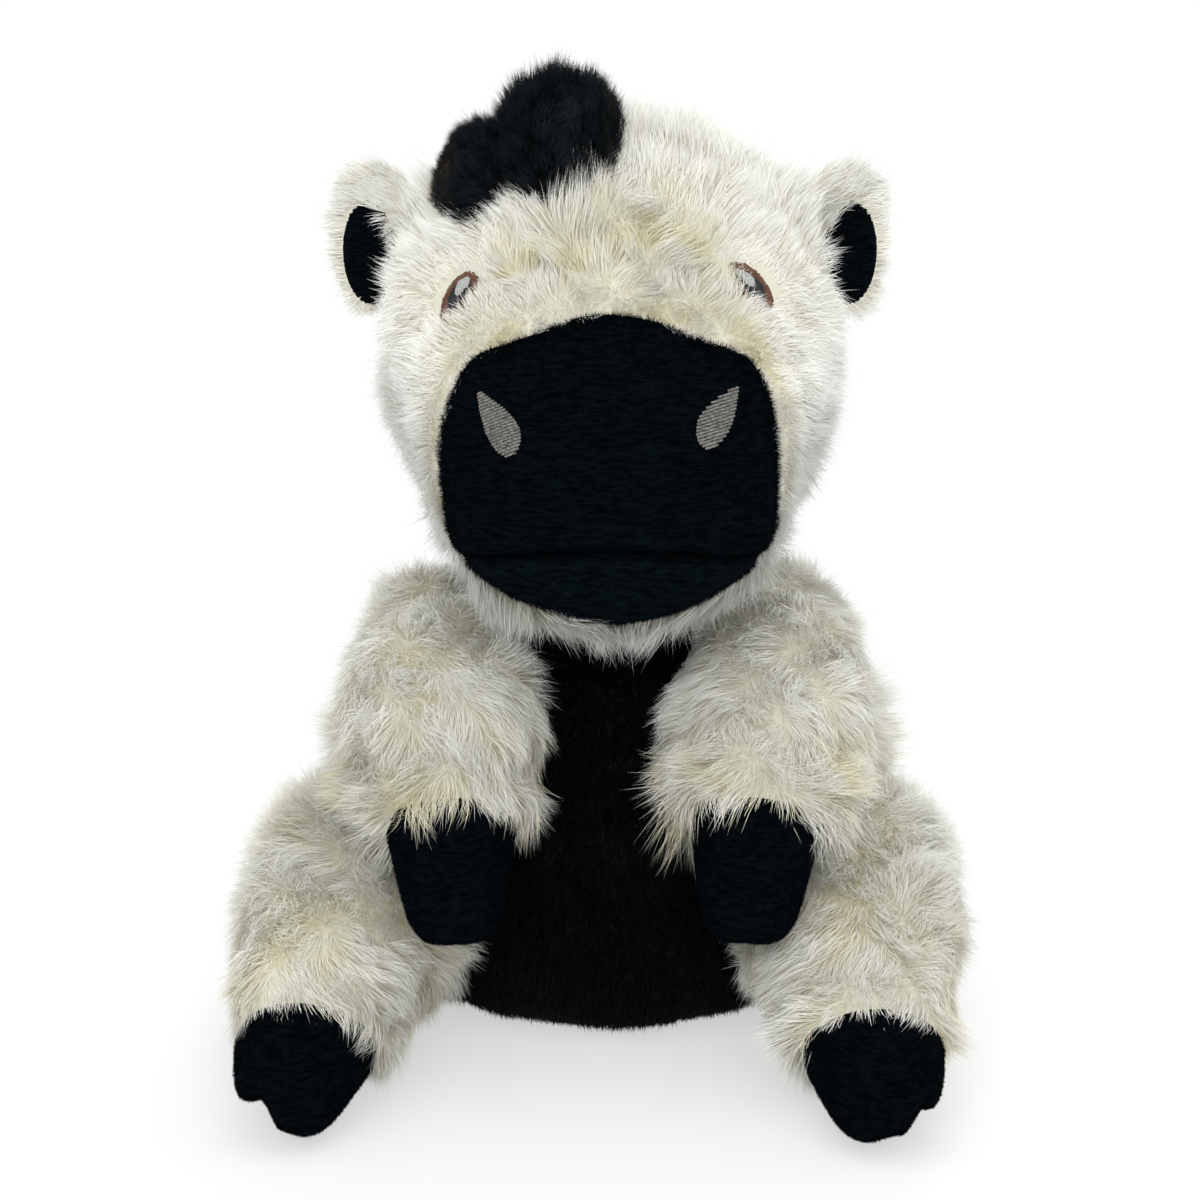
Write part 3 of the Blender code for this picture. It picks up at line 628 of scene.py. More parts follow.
under_chin = eased(up, 0.124, 0.132)
for word, node, inside, habit, reach, shorn, seed in (
    ("belly", "belly_panel", in_belly, dict(BLACK_HABIT, fibres=4.5e6), BELLY_PILE, under_chin, 21),
    ("spot", "back_spot", in_spot, BLACK_HABIT, SPOT_PILE, 0.0, 22),
):
    cloth = panel_of(word + "_cloth", body_form, inside, PANEL_CLOTH, BLACK)
    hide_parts(node)
    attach(cloth, "torso")
    cover = eased(inside, -0.0012, 0.0008) * (1.0 - shorn)
    tips = grow_pile(word + "_pile", body_form, habit, seed, BLACK, down, reach, cover)
    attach(tips, "torso")


# Neck
# A stuffed ball of the cream cloth between body and head, on which the head
# turns and nods. Its own long pile covers it where it shows, behind and beside.

NECK_RADIUS = 0.030
NECK_PLACE = Vector((0.0, 0.004, BODY_HEIGHT - 0.006))
NECK_PILE = 0.0170
NECK_HABIT = dict(CREAM_HABIT, fibres=1.7e6)

bm = bmesh.new()
bmesh.ops.create_icosphere(bm, subdivisions=4, radius=NECK_RADIUS)
bmesh.ops.translate(bm, vec=NECK_PLACE, verts=bm.verts)
neck_mesh = mesh_of(bm, "neck")
neck_skin = placed("neck_skin", neck_mesh, CREAM)
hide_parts("neck_plush")
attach(neck_skin, "neck")
_, normals = vertices_of(neck_mesh)
band = eased(np.abs(normals[:, 2] - 0.1), 0.85, 0.70) * eased(normals[:, 1], -0.60, -0.35)
comb = along_skin((0.0, 0.0, -0.6), normals)
neck_pile = grow_pile("neck_pile", neck_mesh, NECK_HABIT, 28, CREAM, comb, NECK_PILE, band, 0.1)
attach(neck_pile, "neck")


# Head
# A stuffed head of cream pile, sewn from panels, broad at the cheeks. The pile
# parts above the muzzle and runs back to the crown, out to the ears and down.

HEAD_LENGTH = 0.165
HEAD_WIDTH = 0.135
HEAD_HEIGHT = 0.142
HEAD_NAPE = 0.064
HEAD_Z = NECK_PLACE.z + 0.073
MUZZLE_DROP = 0.023
MUZZLE_TILT = 11.0
MUZZLE_DEEP = 0.021
# place along, drop, width, height, and how much a ring is muzzle and tilted
HEAD_SHARES = (
    (0.060, 0.00, 0.54, 0.51, 0.0, 0.0),
    (0.215, 0.00, 0.91, 0.91, 0.0, 0.0),
    (0.435, 0.00, 1.02, 1.00, 0.0, 0.0),
    (0.640, 0.52, 0.81, 0.83, 0.2, 0.3),
    (0.800, 0.92, 0.73, 0.66, 0.8, 0.7),
    (0.925, 1.00, 0.68, 0.60, 1.0, 1.0),
    (0.985, 1.00, 0.49, 0.43, 1.0, 1.0),
)
ROUND_SHARES = ((0.0, 1.0), (0.71, 0.71), (1.0, 0.06), (0.76, -0.65), (0.0, -1.0))
MUZZLE_SHARES = ((0.0, 1.0), (0.80, 0.76), (1.0, 0.20), (0.83, -0.66), (0.0, -1.0))
# how far the cream cloth reaches past the muzzle's plane, by the angle round it:
# it stays back at four blunt corners and comes forward between them
SEAM_SHIFTS = (
    (-180, 0.0040), (-171, 0.0035), (-162, 0.0010), (-150, 0.0), (-135, 0.0014),
    (-117, 0.0058), (-105, 0.0060), (-96, 0.0036), (-88, 0.0), (-78, 0.0028), (-60, 0.0030),
    (-42, 0.0), (-27, 0.0), (-18, 0.0010), (-9, 0.0045), (0, 0.0064), (14, 0.0070),
    (28, 0.0066), (40, 0.0060), (50, 0.0078), (60, 0.0080), (72, 0.0066), (90, 0.0053),
    (100, 0.0055), (108, 0.0066), (120, 0.0080), (130, 0.0078), (140, 0.0060),
    (148, 0.0062), (153, 0.0064), (162, 0.0052), (171, 0.0044), (180, 0.0040),
)
SEAM_GROOVE = 0.0016
HEAD_PILE = 0.0130
EYE_PLACE = Vector((0.0435, -0.0450, HEAD_Z + HEAD_HEIGHT * 0.1338))
EYE_SHIFTS = {-1: Vector((0.0017, -0.0032, 0.0008)), 1: Vector((-0.0043, -0.0036, 0.0045))}
PARTING = np.array((0.0, -0.086, 0.208))
BROW = (0.0, -0.060, 0.232)
FORELOCK = (-0.0075, -0.0470, 0.2480)
TUFT_FEET = (((-0.0140, -0.011, 0.2585), 0.0190), ((-0.0365, -0.011, 0.2515), 0.0150))
BROW_WAVES = (
    ((310.0, 120.0, 170.0), 0.0),
    ((-190.0, 90.0, 260.0), 2.0),
    ((230.0, -140.0, 330.0), 4.0),
)


def head_ring(share):
    """Give one upright ring of the head, tipped back towards the muzzle's end."""
    along, drop, width, height, muzzle, tilt = share
    half_width = HEAD_WIDTH / 2 * width * ring_swell(8)
    half_height = HEAD_HEIGHT / 2 * height * ring_swell(8)
    centre = Vector((0.0, HEAD_NAPE - HEAD_LENGTH * along, HEAD_Z - MUZZLE_DROP * drop))
    lean = math.radians(MUZZLE_TILT * tilt)
    upright = Vector((0.0, math.sin(lean), math.cos(lean)))
    halves = list(zip(ROUND_SHARES, MUZZLE_SHARES))
    whole = [(plain, shaped, 1) for plain, shaped in halves]
    whole += [(plain, shaped, -1) for plain, shaped in reversed(halves[1:-1])]
    ring = []
    for plain, shaped, side in whole:
        u = side * (plain[0] + (shaped[0] - plain[0]) * muzzle)
        v = plain[1] + (shaped[1] - plain[1]) * muzzle
        ring.append(centre + Vector((half_width * u, 0.0, 0.0)) + upright * half_height * v)
    return ring


muzzle_end = Vector((0.0, HEAD_NAPE - HEAD_LENGTH, HEAD_Z - MUZZLE_DROP))
muzzle_lean = math.radians(MUZZLE_TILT)
muzzle_out = Vector((0.0, -math.cos(muzzle_lean), math.sin(muzzle_lean)))
seam_point = muzzle_end - muzzle_out * MUZZLE_DEEP


def head_form(level):
    """Make the whole head's form."""
    rings = [head_ring(share) for share in HEAD_SHARES]
    return stuffed_form("head_form", rings, Vector((0.0, HEAD_NAPE, HEAD_Z)), muzzle_end, level)


def part_of(mesh, point, outward, shift=None):
    """Keep the side of a form that a direction points away from, closed where it is cut.

    A shift bends the cut: it says how far along the direction each point's cut lies.
    """
    bm = bmesh.new()
    bm.from_mesh(mesh)
    bend = bm.verts.layers.float.new("bend")
    if shift is not None:
        for vert, amount in zip(bm.verts, shift):
            vert[bend] = amount
            vert.co -= outward * amount
    bmesh.ops.bisect_plane(
        bm, geom=bm.verts[:] + bm.edges[:] + bm.faces[:], dist=1e-6,
        plane_co=point, plane_no=outward, clear_outer=True,
    )
    for vert in bm.verts:
        vert.co += outward * vert[bend]
    bm.verts.layers.float.remove(bm.verts.layers.float["bend"])
    rim = [edge for edge in bm.edges if edge.is_boundary]
    middle = bm.verts.new(sum((v.co for e in rim for v in e.verts), Vector()) / (2 * len(rim)))
    for edge in rim:
        bm.faces.new((edge.verts[0], edge.verts[1], middle))
    bmesh.ops.recalc_face_normals(bm, faces=bm.faces)
    return mesh_of(bm, mesh.name)


def around_muzzle(places):
    """Give the angle of each place round the muzzle's end."""
    return np.degrees(np.arctan2(places[:, 2] - muzzle_end.z, places[:, 0]))


def seam_shift(places):
    """Give how far forward the muzzle's seam runs beside each place."""
    table = np.array(SEAM_SHIFTS)
    return np.interp(around_muzzle(places), table[:, 0], table[:, 1])


def in_front_of_seam(places):
    """Give how far each place lies in front of the muzzle's seam."""
    return (places - np.array(seam_point)) @ np.array(muzzle_out) - seam_shift(places)


def drawn_in(mesh, depth, reach):
    """Draw a form's skin in along the muzzle's seam."""
    places, normals = vertices_of(mesh)
    dent = depth * np.exp(-(in_front_of_seam(places) / reach) ** 2)
    return moved(mesh, places - normals * dent[:, None])


def gap_to(places, spot):
    """Give each place's distance from a spot."""
    return np.linalg.norm(places - np.array(spot), axis=1)


def beside_eye(side, out, back, down):
    """Give a spot beside an eye's place."""
    x, y, z = EYE_PLACE
    return Vector((side * (x + out), y + back, z - down)) + EYE_SHIFTS[side]


def waved(places, normals, turns):
    """Give a direction on the skin that wanders, to comb the pile in locks."""
    wave = [np.sin(places @ np.array(turn) + phase) for turn, phase in turns]
    return along_skin(np.stack(wave, axis=1), normals)


def head_comb(places, normals):
    """Comb away from the parting above the muzzle, and over the seam in front of it."""
    away = places - PARTING
    away[:, 2] += 0.004
    back = along_skin(away, normals)
    forward = along_skin(np.array(muzzle_out), normals) * 1.7
    share = eased(-in_front_of_seam(places), 0.003, 0.013)[:, None]
    under = eased(places[:, 2], 0.172, 0.150)[:, None]
    hanging = along_skin((0.0, -0.35, -1.0), normals)
    mixed = forward * (1 - share) + back * share
    return mixed * (1 - under) + (hanging + forward * 0.35) * under


head_cloth = drawn_in(head_form(4), SEAM_GROOVE, 0.0026)
head_cloth = part_of(head_cloth, seam_point, muzzle_out, seam_shift(vertices_of(head_cloth)[0]))
head_whole = head_form(5)
head_surface = surface_of(head_whole)
head_points, head_normals = vertices_of(drawn_in(head_whole, SEAM_GROOVE, 0.0026))
head_skin = placed("head_skin", head_cloth, CREAM)
written(head_skin.data, "tone", CLOTH_TONE)
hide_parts("head_plush")
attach(head_skin, "head")

across, deep, tall = head_points.T
behind_seam = -in_front_of_seam(head_points)
comb = head_comb(head_points, head_normals)
length = HEAD_PILE - 0.0066 * eased(behind_seam, 0.020, 0.002)
length = length + 0.002 * eased(tall, 0.235, 0.262)
length = length + 0.010 * eased(tall, 0.162, 0.148) * eased(deep, -0.030, -0.050)
# the forelock stands up in front of the tuft, and the temples are long beside the ears
forelock = eased(gap_to(head_points, FORELOCK), 0.0130, 0.0060)
length = length + 0.008 * forelock
comb = comb + forelock[:, None] * np.array((0.0, 0.05, 2.2))
cover = 0.88 * eased(behind_seam, -0.0002, 0.0006)
under_tuft = np.minimum(*[gap_to(head_points, foot) / radius for foot, radius in TUFT_FEET])
cover = cover * eased(under_tuft, 0.93, 1.02)
cover = cover * (1.0 - eased(gap_to(head_points, NECK_PLACE), NECK_RADIUS + 0.003, NECK_RADIUS))
for side in (-1, 1):
    temple = eased(gap_to(head_points, (side * 0.0530, 0.0040, 0.2460)), 0.0200, 0.0080)
    length = length + 0.008 * temple
    comb = comb + temple[:, None] * np.array((side * 0.8, 0.0, 0.9))
# round the eyes the pile is clipped short, and under their stitches it is shorn
for side in (-1, 1):
    clipped = gap_to(head_points, beside_eye(side, 0.0024, 0.0052, 0.001))
    length = length * (1.0 - 0.64 * eased(clipped, 0.0200, 0.0112))
    shorn = gap_to(head_points, beside_eye(side, 0.0018, 0.0054, 0.0014))
    cover = cover * eased(shorn, 0.0066, 0.0074)
length = length + 0.007 * eased(tall, 0.170, 0.150) * eased(deep, 0.000, 0.020)
# the pile is yellower round the brow, and the lower front of the head is darkened by painted shade
tone = 0.05 + 0.80 * eased(gap_to(head_points, (0.0, -0.070, 0.225)), 0.058, 0.030)
tone = tone - 0.85 * eased(tall, 0.215, 0.180) * eased(deep, 0.020, -0.020)
brow = eased(gap_to(head_points, BROW), 0.040, 0.022)
comb = comb + waved(head_points, head_normals, BROW_WAVES) * 1.1 * brow[:, None]
for word, half, seed in (("left", across < 0.0, 31), ("right", across >= 0.0, 32)):
    head_pile = grow_pile(
        "head_pile_" + word, head_whole, CREAM_HABIT, seed, CREAM, comb, length, cover * half, tone
    )
    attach(head_pile, "head")


# Muzzle and chin
# Two panels of black velour that meet at the mouth's seam, sewn round their edge
# into the cream head. The velour's short nap lies in fine level ribs.

MOUTH_DROP = 0.019
MOUTH_SAG = 0.0036
MOUTH_HALF = 0.042
LIP = 0.0016
NAP = 0.0013
EDGE_NAP = 0.0010
# how much the velour swells out at each blunt corner, by its angle
CORNERS = ((-154.0, 1.0), (-26.0, 1.0), (38.0, 0.5), (142.0, 0.6))
NAP_HABIT = dict(
    CREAM_HABIT, fibres=6.5e6, tufts=250000.0, width=0.00026, root_stand=1.0, tip_stand=0.55,
    ruffle=0.5, tuft_ruffle=0.4, swirl=0.5, swirl_scale=110.0, sag=0.0, frizz=0.05,
    bunching=0.25, shortest=0.7, facing=1.4, bends=1,
)


def velour_finish():
    """Colour black velour with painted sheen, blue-black in blotches and along fine level ribs, with painted
    shade or painted sheen where its tone asks.
    """
    made = Finish("black_velour_finish")
    shade, tone = made.kept("shade", "tone")
    ribs = made.noise(made.place * (240.0, 240.0, 1300.0), 1.0, 2.0, 0.6)
    cloud = made.noise(made.place, 90.0, 3.0, 0.6)
    # painted sheen: paler blue-black along the ribs and in blotches
    painted_sheen = made.between(ribs * 0.85 + cloud * 0.15, 0.38, 0.62)
    mixed_colour = made.mix(painted_sheen, (0.0003, 0.0011, 0.0018), (0.0017, 0.0047, 0.0071))
    fine = made.noise(made.place, 2600.0, 2.0, 0.7)
    bump = made.bump(ribs * 0.7 + fine * 0.5, 0.5, 0.0004)
    # a tone above zero darkens the velour as painted shade, a tone below zero makes it paler as painted
    # sheen
    return made.done(mixed_colour * ((0.8 + shade * 0.4) * (1.0 - tone)), 0.78 + cloud * 0.15, 0.03, bump)


VELOUR = velour_finish()


def nap_on(name, form, comb, cover, seed, nap=NAP, tone=0.0):
    """Grow the velour's short nap."""
    tips = grow_pile(name, form, NAP_HABIT, seed, VELOUR, comb, nap, cover, tone)
    return tips


mouth_point = muzzle_end - Vector((0.0, 0.0, MOUTH_DROP))


def mouth_shift(places):
    """Give how far the mouth's seam lies below its middle beside each place."""
    return MOUTH_SAG * (places[:, 0] / MOUTH_HALF) ** 2


def lip_gap(places):
    """Give how far above the mouth's seam each place is, in widths of the lip."""
    return (places[:, 2] - mouth_point.z + mouth_shift(places)) / LIP


face_form = drawn_in(head_form(5), 0.0011, 0.0022)
places, normals = vertices_of(face_form)
front = in_front_of_seam(places)
crease = np.exp(-lip_gap(places) ** 2) * eased(front, 0.001, 0.006)
around = around_muzzle(places)
corner = sum(size * np.exp(-((around - angle) / 13.0) ** 2) for angle, size in CORNERS)
corner = corner * eased(np.hypot(places[:, 0], places[:, 2] - muzzle_end.z), 0.020, 0.036)
below = (mouth_point.z - places[:, 2]) / 0.001
centre = np.exp(-(places[:, 0] / 0.0016) ** 2) * eased(below, 0.0, 3.0) * eased(front, 0.001, 0.008)
dimple = np.sin(places[:, 0] * 420.0 + 1.0) * np.sin(places[:, 2] * 310.0)
dimple = 0.0010 * dimple * eased(front, 0.0, 0.01)
dent = 0.0030 * crease + 0.0009 * centre + 0.25 * dimple - 0.0016 * corner
places = places - normals * dent[:, None]
moved(face_form, places)
face_form = part_of(face_form, seam_point, -muzzle_out, -seam_shift(places))
mouth_bend = -mouth_shift(vertices_of(face_form)[0])
for name, node, flip in (("muzzle", "muzzle_panel", -1.0), ("chin", "chin_panel", 1.0)):
    form = part_of(face_form, mouth_point, Vector((0.0, 0.0, flip)), mouth_bend * flip)
    skin = placed(name + "_skin", form, VELOUR)
    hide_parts(node)
    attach(skin, "head")
    places, normals = vertices_of(form)
    front = in_front_of_seam(places)
    lip = lip_gap(places)
    outside = eased(np.abs(normals @ np.array(muzzle_out) + 1.0), 0.02, 0.10)
    edge = eased(front, 0.0060, 0.0012)
    sideways = along_skin((0.0, -0.2, -1.0), normals) * (1.0 - 0.9 * edge)[:, None]
    clear = outside * eased(front, 0.0, 0.001) * (1.0 - np.exp(-lip ** 2))
    bed = form.copy()
    # painted shade darkens the velour along the mouth's seam, and painted sheen makes the chin's velour
    # paler
    shaded = 0.9 * np.exp(-(lip / 0.9) ** 2) - (0.35 if name == "chin" else 0.0)
    written(skin.data, "tone", shaded)
    nap = nap_on(name + "_nap", bed, sideways, clear, 41, NAP + EDGE_NAP * edge, shaded)
    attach(nap, "head")


# Nostrils and eyes
# Satin stitch: rows of thread laid side by side across each shape. The nostrils
# are grey teardrops, the eyes a copper ring round black with a pale glint.

STITCH_STEP = 0.0008
NOSTRIL_SHARES = (
    (1.00, 1.10), (0.94, 1.14), (0.70, 1.02), (0.34, 0.84), (-0.22, 0.56), (-0.72, 0.22),
    (-1.04, -0.16), (-1.10, -0.54), (-0.92, -0.90), (-0.52, -1.10), (-0.10, -1.04),
    (0.28, -0.78), (0.58, -0.42), (0.78, 0.00), (0.90, 0.44), (0.98, 0.82),
)
NOSTRIL_WIDE = 0.0052
# place out and up from the muzzle's end, half height, slant of the stitches
NOSTRILS = {-1: (0.0315, 0.0162, 0.0083, 14.0), 1: (0.0300, 0.0181, 0.0081, 24.0)}
NOSTRIL_PITCH = 0.00084
NOSTRIL_THREAD = 0.00041
EYE_WIDE = 0.00625
EYE_TALL = 0.00825
EYE_STITCHES = 84
EYE_PITCH = 0.00033


def stitch_recipe():
    """Make the tree that lays a round thread along every stitch."""
    recipe, asked = started("stitches", ("radius",))
    curve = recipe.add("GeometryNodeMeshToCurve", {"Mesh": asked("Geometry")})
    sockets = {"Resolution": 6, "Radius": asked("radius")}
    ring = recipe.add("GeometryNodeCurvePrimitiveCircle", sockets, mode="RADIUS")
    sockets = {"Curve": curve, "Profile Curve": ring, "Fill Caps": True}
    sewn = recipe.add("GeometryNodeCurveToMesh", sockets)
    sewn = recipe.add("GeometryNodeRealizeInstances", {"Geometry": sewn})
    sewn = recipe.add("GeometryNodeSetMaterial", {"Geometry": sewn, "Material": asked("dye")})
    recipe.add("NodeGroupOutput", {"Geometry": sewn})
    return recipe


STITCHES = stitch_recipe()


def thread_finish(name, low, high):
    """Colour a shiny rayon thread, with fine slanting ridges, and painted sheen that swings its colour
    between dark and light along them.
    """
    made = Finish(name)
    cloud = made.noise(made.place, 1500.0, 2.0, 0.6)
    twist_and_sheen = made.noise(made.place * (900.0, 900.0, 3600.0), 1.0, 1.0)
    # painted sheen: the colour swings from dark to light along the ridges, and a little at random
    colour = made.mix(made.between(cloud * 0.35 + twist_and_sheen * 0.65, 0.34, 0.66), low, high)
    more = {"Sheen Weight": 0.1, **made.bump(twist_and_sheen, 0.35, 0.0001)}
    return made.done(colour, 0.34 + twist_and_sheen * 0.16, 0.16, more)


GREY = thread_finish("grey_thread_finish", (0.058, 0.057, 0.052), (0.215, 0.211, 0.193))
BROWN = thread_finish("brown_thread_finish", (0.060, 0.022, 0.009), (0.150, 0.060, 0.025))
DARK_THREAD = thread_finish("black_thread_finish", (0.003, 0.003, 0.004), (0.009, 0.010, 0.011))
PALE = thread_finish("white_thread_finish", (0.26, 0.27, 0.26), (0.46, 0.47, 0.45))


def turned(*turns):
    """Give turns about named axes in degrees, one after the other."""
    whole = Matrix.Identity(3)
    for angle, axis in turns:
        whole = whole @ Matrix.Rotation(math.radians(angle), 3, axis)
    return whole


def sewn_patch(name, rows, place, turn, lift, crown, radius, material):
    """Lay rows of stitches on the head, raised in the middle of each row."""
    into = turn @ Vector((0.0, 0.0, -1.0))
    points = []
    edges = []
    for start, end in rows:
        start, end = Vector(start), Vector(end)
        count = max(3, round((end - start).length / STITCH_STEP))
        for i in range(count + 1):
            share = i / count
            flat = start.lerp(end, share)
            above = place + turn @ Vector((flat.x, flat.y, 0.012))
            hit, _, _, _ = head_surface.ray_cast(above, into)
            swell = lift + crown * (1.0 - (2.0 * share - 1.0) ** 4)
            points.append(hit - into * swell)
            if i:
                edges.append((len(points) - 2, len(points) - 1))
    mesh = bpy.data.meshes.new(name)
    mesh.from_pydata(points, edges, [])
    patch = grown(name, mesh, STITCHES, {"radius": radius, "dye": material})
    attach(patch, "head")
    return patch


def rows_across(outline, pitch, slant, seed):
    """Fill an outline with slanting rows that end a little unevenly on its edge."""
    chance = np.random.default_rng(seed)
    tilt = Matrix.Rotation(math.radians(slant), 2)
    back = Matrix.Rotation(math.radians(-slant), 2)
    ring = [back @ Vector(point) for point in outline]
    high = max(point.y for point in ring)
    rows = []
    y = min(point.y for point in ring) + pitch / 2
    while y < high:
        cuts = []
        for a, b in zip(ring, ring[1:] + ring[:1]):
            if (a.y - y) * (b.y - y) < 0:
                cuts.append(a.x + (b.x - a.x) * (y - a.y) / (b.y - a.y))
        if len(cuts) >= 2:
            jitter = chance.uniform(-0.00012, 0.00016, 2)
            rows.append((
                tuple(tilt @ Vector((min(cuts) - jitter[0], y))),
                tuple(tilt @ Vector((max(cuts) + jitter[1], y))),
            ))
        y += pitch
    return rows


def smooth_ring(points, times):
    """Round an outline by cutting its corners."""
    ring = [Vector(point) for point in points]
    for _ in range(times):
        pairs = zip(ring, ring[1:] + ring[:1])
        ring = [a.lerp(b, share) for a, b in pairs for share in (0.25, 0.75)]
    return [tuple(point) for point in ring]


def eye_rows():
    """Give the ring's stitches, that run out from the pupil and end unevenly."""
    chance = np.random.default_rng(52)
    rows = []
    for i in range(EYE_STITCHES):
        angle = 2 * math.pi * i / EYE_STITCHES
        inner = (0.42 + chance.uniform(-0.02, 0.02), angle)
        outer = (1.0 + chance.uniform(-0.05, 0.04), angle + 0.10)
        rows.append([
            (EYE_WIDE * share * math.cos(at), EYE_TALL * share * math.sin(at))
            for share, at in (inner, outer)
        ])
    return rows


for side, word in ((-1, "left"), (1, "right")):
    out, above, tall, slant = NOSTRILS[side]
    tear = smooth_ring([(side * u * NOSTRIL_WIDE, v * tall) for u, v in NOSTRIL_SHARES], 3)
    place = muzzle_end + Vector((side * out, 0.0, above))
    turn = turned((side * 14.0, "Z"), (90.0 - MUZZLE_TILT, "X"), (-side * 9.0, "Z"))
    rows = rows_across(tear, NOSTRIL_PITCH, slant, 51)
    patch = sewn_patch(
        "nostril_stitches_" + word, rows, place, turn, 0.0009, 0.0007, NOSTRIL_THREAD, GREY
    )
    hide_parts("nostril_" + word)

    place = beside_eye(side, -0.0012, -0.0014, 0.0008)
    turn = turned((side * 70.0, "Z"), (58.0, "X"), (18.0 if side < 0 else 0.0, "Z"))
    patch = sewn_patch(
        "eye_ring_" + word, eye_rows(), place, turn,
        lift=0.0009, crown=0.0006, radius=0.00026, material=BROWN,
    )
    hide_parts("eye_iris_" + word)
    angles = [math.pi * i / 20 for i in range(40)]
    oval = [
        (0.0034 * math.cos(angle) - side * 0.0014, 0.0056 * math.sin(angle)) for angle in angles
    ]
    rows = rows_across(oval, EYE_PITCH, 80.0, 53)
    patch = sewn_patch(
        "eye_middle_" + word, rows, place, turn,
        lift=0.0015, crown=0.0006, radius=0.00023, material=DARK_THREAD,
    )
    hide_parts("eye_pupil_" + word)
    glint = [(u * 0.60 - side * 0.0016, v * 0.56 + 0.0024) for u, v in oval]
    rows = rows_across(glint, EYE_PITCH, 75.0, 54)
    patch = sewn_patch(
        "eye_glint_stitches_" + word, rows, place, turn,
        lift=0.0024, crown=0.0005, radius=0.00022, material=PALE,
    )
    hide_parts("eye_glint_" + word)


# Crown tuft
# Two soft mounds of long black pile sewn on the crown, left of the middle, with
# their tips worn brown on one side.

TUFT_Z = HEAD_Z + HEAD_HEIGHT * 0.3768
TUFT_MOUNDS = (
    ((-0.0140, -0.011, TUFT_Z), (0.0180, 0.0280, 0.0230)),
    ((-0.0365, -0.011, TUFT_Z - 0.007), (0.01332, 0.02072, 0.01702)),
)
TUFT_MIDDLE = np.array((-0.020, -0.004, 0.240))
TUFT_PILE = 0.0095
TUFT_HABIT = dict(
    CREAM_HABIT, fibres=7.0e6, tufts=70000.0, width=0.00020, root_stand=1.6, tip_stand=0.9,
    swirl=1.4, bunching=0.55, sag=0.0, facing=0.7,
)
TUFT_BLACK = dark_finish(
    "tuft_pile_finish", (0.0040, 0.0064, 0.0080), (0.0280, 0.0350, 0.0410), (0.150, 0.110, 0.070)
)

bm = bmesh.new()
for place, size in TUFT_MOUNDS:
    made = bmesh.ops.create_icosphere(bm, subdivisions=4, radius=1.0)
    bmesh.ops.scale(bm, vec=size, verts=made["verts"])
    bmesh.ops.translate(bm, vec=place, verts=made["verts"])
mound = placed("tuft_mounds", mesh_of(bm, "tuft"))
join = mound.modifiers.new("join", "REMESH")
join.mode = "VOXEL"
join.voxel_size = 0.0012
smooth = mound.modifiers.new("smooth", "SMOOTH")
smooth.factor = 0.5
smooth.iterations = 6
tuft_form = plain_mesh(mound)
tuft_skin = placed("tuft_skin", tuft_form.copy(), BLACK)
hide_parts("crown_tuft")
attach(tuft_skin, "head")
places, normals = vertices_of(tuft_form)
comb = along_skin(places - TUFT_MIDDLE + np.array((0.0, -0.006, 0.004)), normals)


def gaps_over(surface, places):
    """Give each place's way from the nearest spot of a surface, and the normal there."""
    for place in places:
        spot, normal, _, _ = surface.find_nearest(Vector(place))
        yield Vector(place) - spot, normal


above_head = np.array([gap.dot(normal) for gap, normal in gaps_over(head_surface, places)])
cover = eased(above_head, -0.001, 0.001)
across, _, tall = places.T
length = TUFT_PILE + 0.003 * eased(tall, 0.262, 0.280) - 0.004 * eased(-across, 0.036, 0.050)
brown = 0.9 * eased(across, -0.004, 0.006) + 0.6 * eased(-across, 0.040, 0.050)
tuft_pile = grow_pile(
    "tuft_pile", tuft_form, TUFT_HABIT, 61, TUFT_BLACK, comb, length, cover, brown
)
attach(tuft_pile, "head")


# Ears
# Leaves of cream cloth with a lining of black velour on the front, sewn along
# their root to the side of the head, so that each can flap on its seam.

EAR_LENGTH = 0.0200
EAR_HEIGHT = 0.0455
EAR_THICKNESS = 0.009
EAR_LEAN = 25.0
EAR_SWEEP = 12.0
EAR_PLACE = Vector((HEAD_WIDTH * 0.4637, 0.006, HEAD_Z + HEAD_HEIGHT * 0.2218))
# place out, height, thickness, fall and lean of each ring
EAR_SHARES = (
    (-0.10, 0.50, 0.86, 0.3, 1.0),
    (0.26, 0.86, 1.00, 0.8, 0.4),
    (0.66, 0.92, 0.90, 0.9, 0.0),
    (0.93, 0.62, 0.66, 0.7, 0.0),
)
LINING_CLOTH = 0.0004
LINING_NAP = 0.0022
EAR_HABIT = dict(CREAM_HABIT, fibres=4.6e6, root_stand=1.2, tip_stand=0.5, sag=0.05)


def ear_ring(side, share):
    """Give one ring of an ear, with X out from the head."""
    out, height, thickness, fall, lean = share
    grow = ring_swell(8)
    centre = Vector((side * EAR_LENGTH * out, 0.0, -0.003 * fall))
    angle = math.radians(EAR_LEAN * lean)
    tall = Vector((-side * math.sin(angle), 0.0, math.cos(angle))) * EAR_HEIGHT / 2 * height * grow
    wide = Vector((0.0, EAR_THICKNESS / 2 * thickness * grow, 0.0))
    return [centre + wide * u + tall * v * (1.18 if v > 0 else 1.0) for u, v in circle_shares(8)]


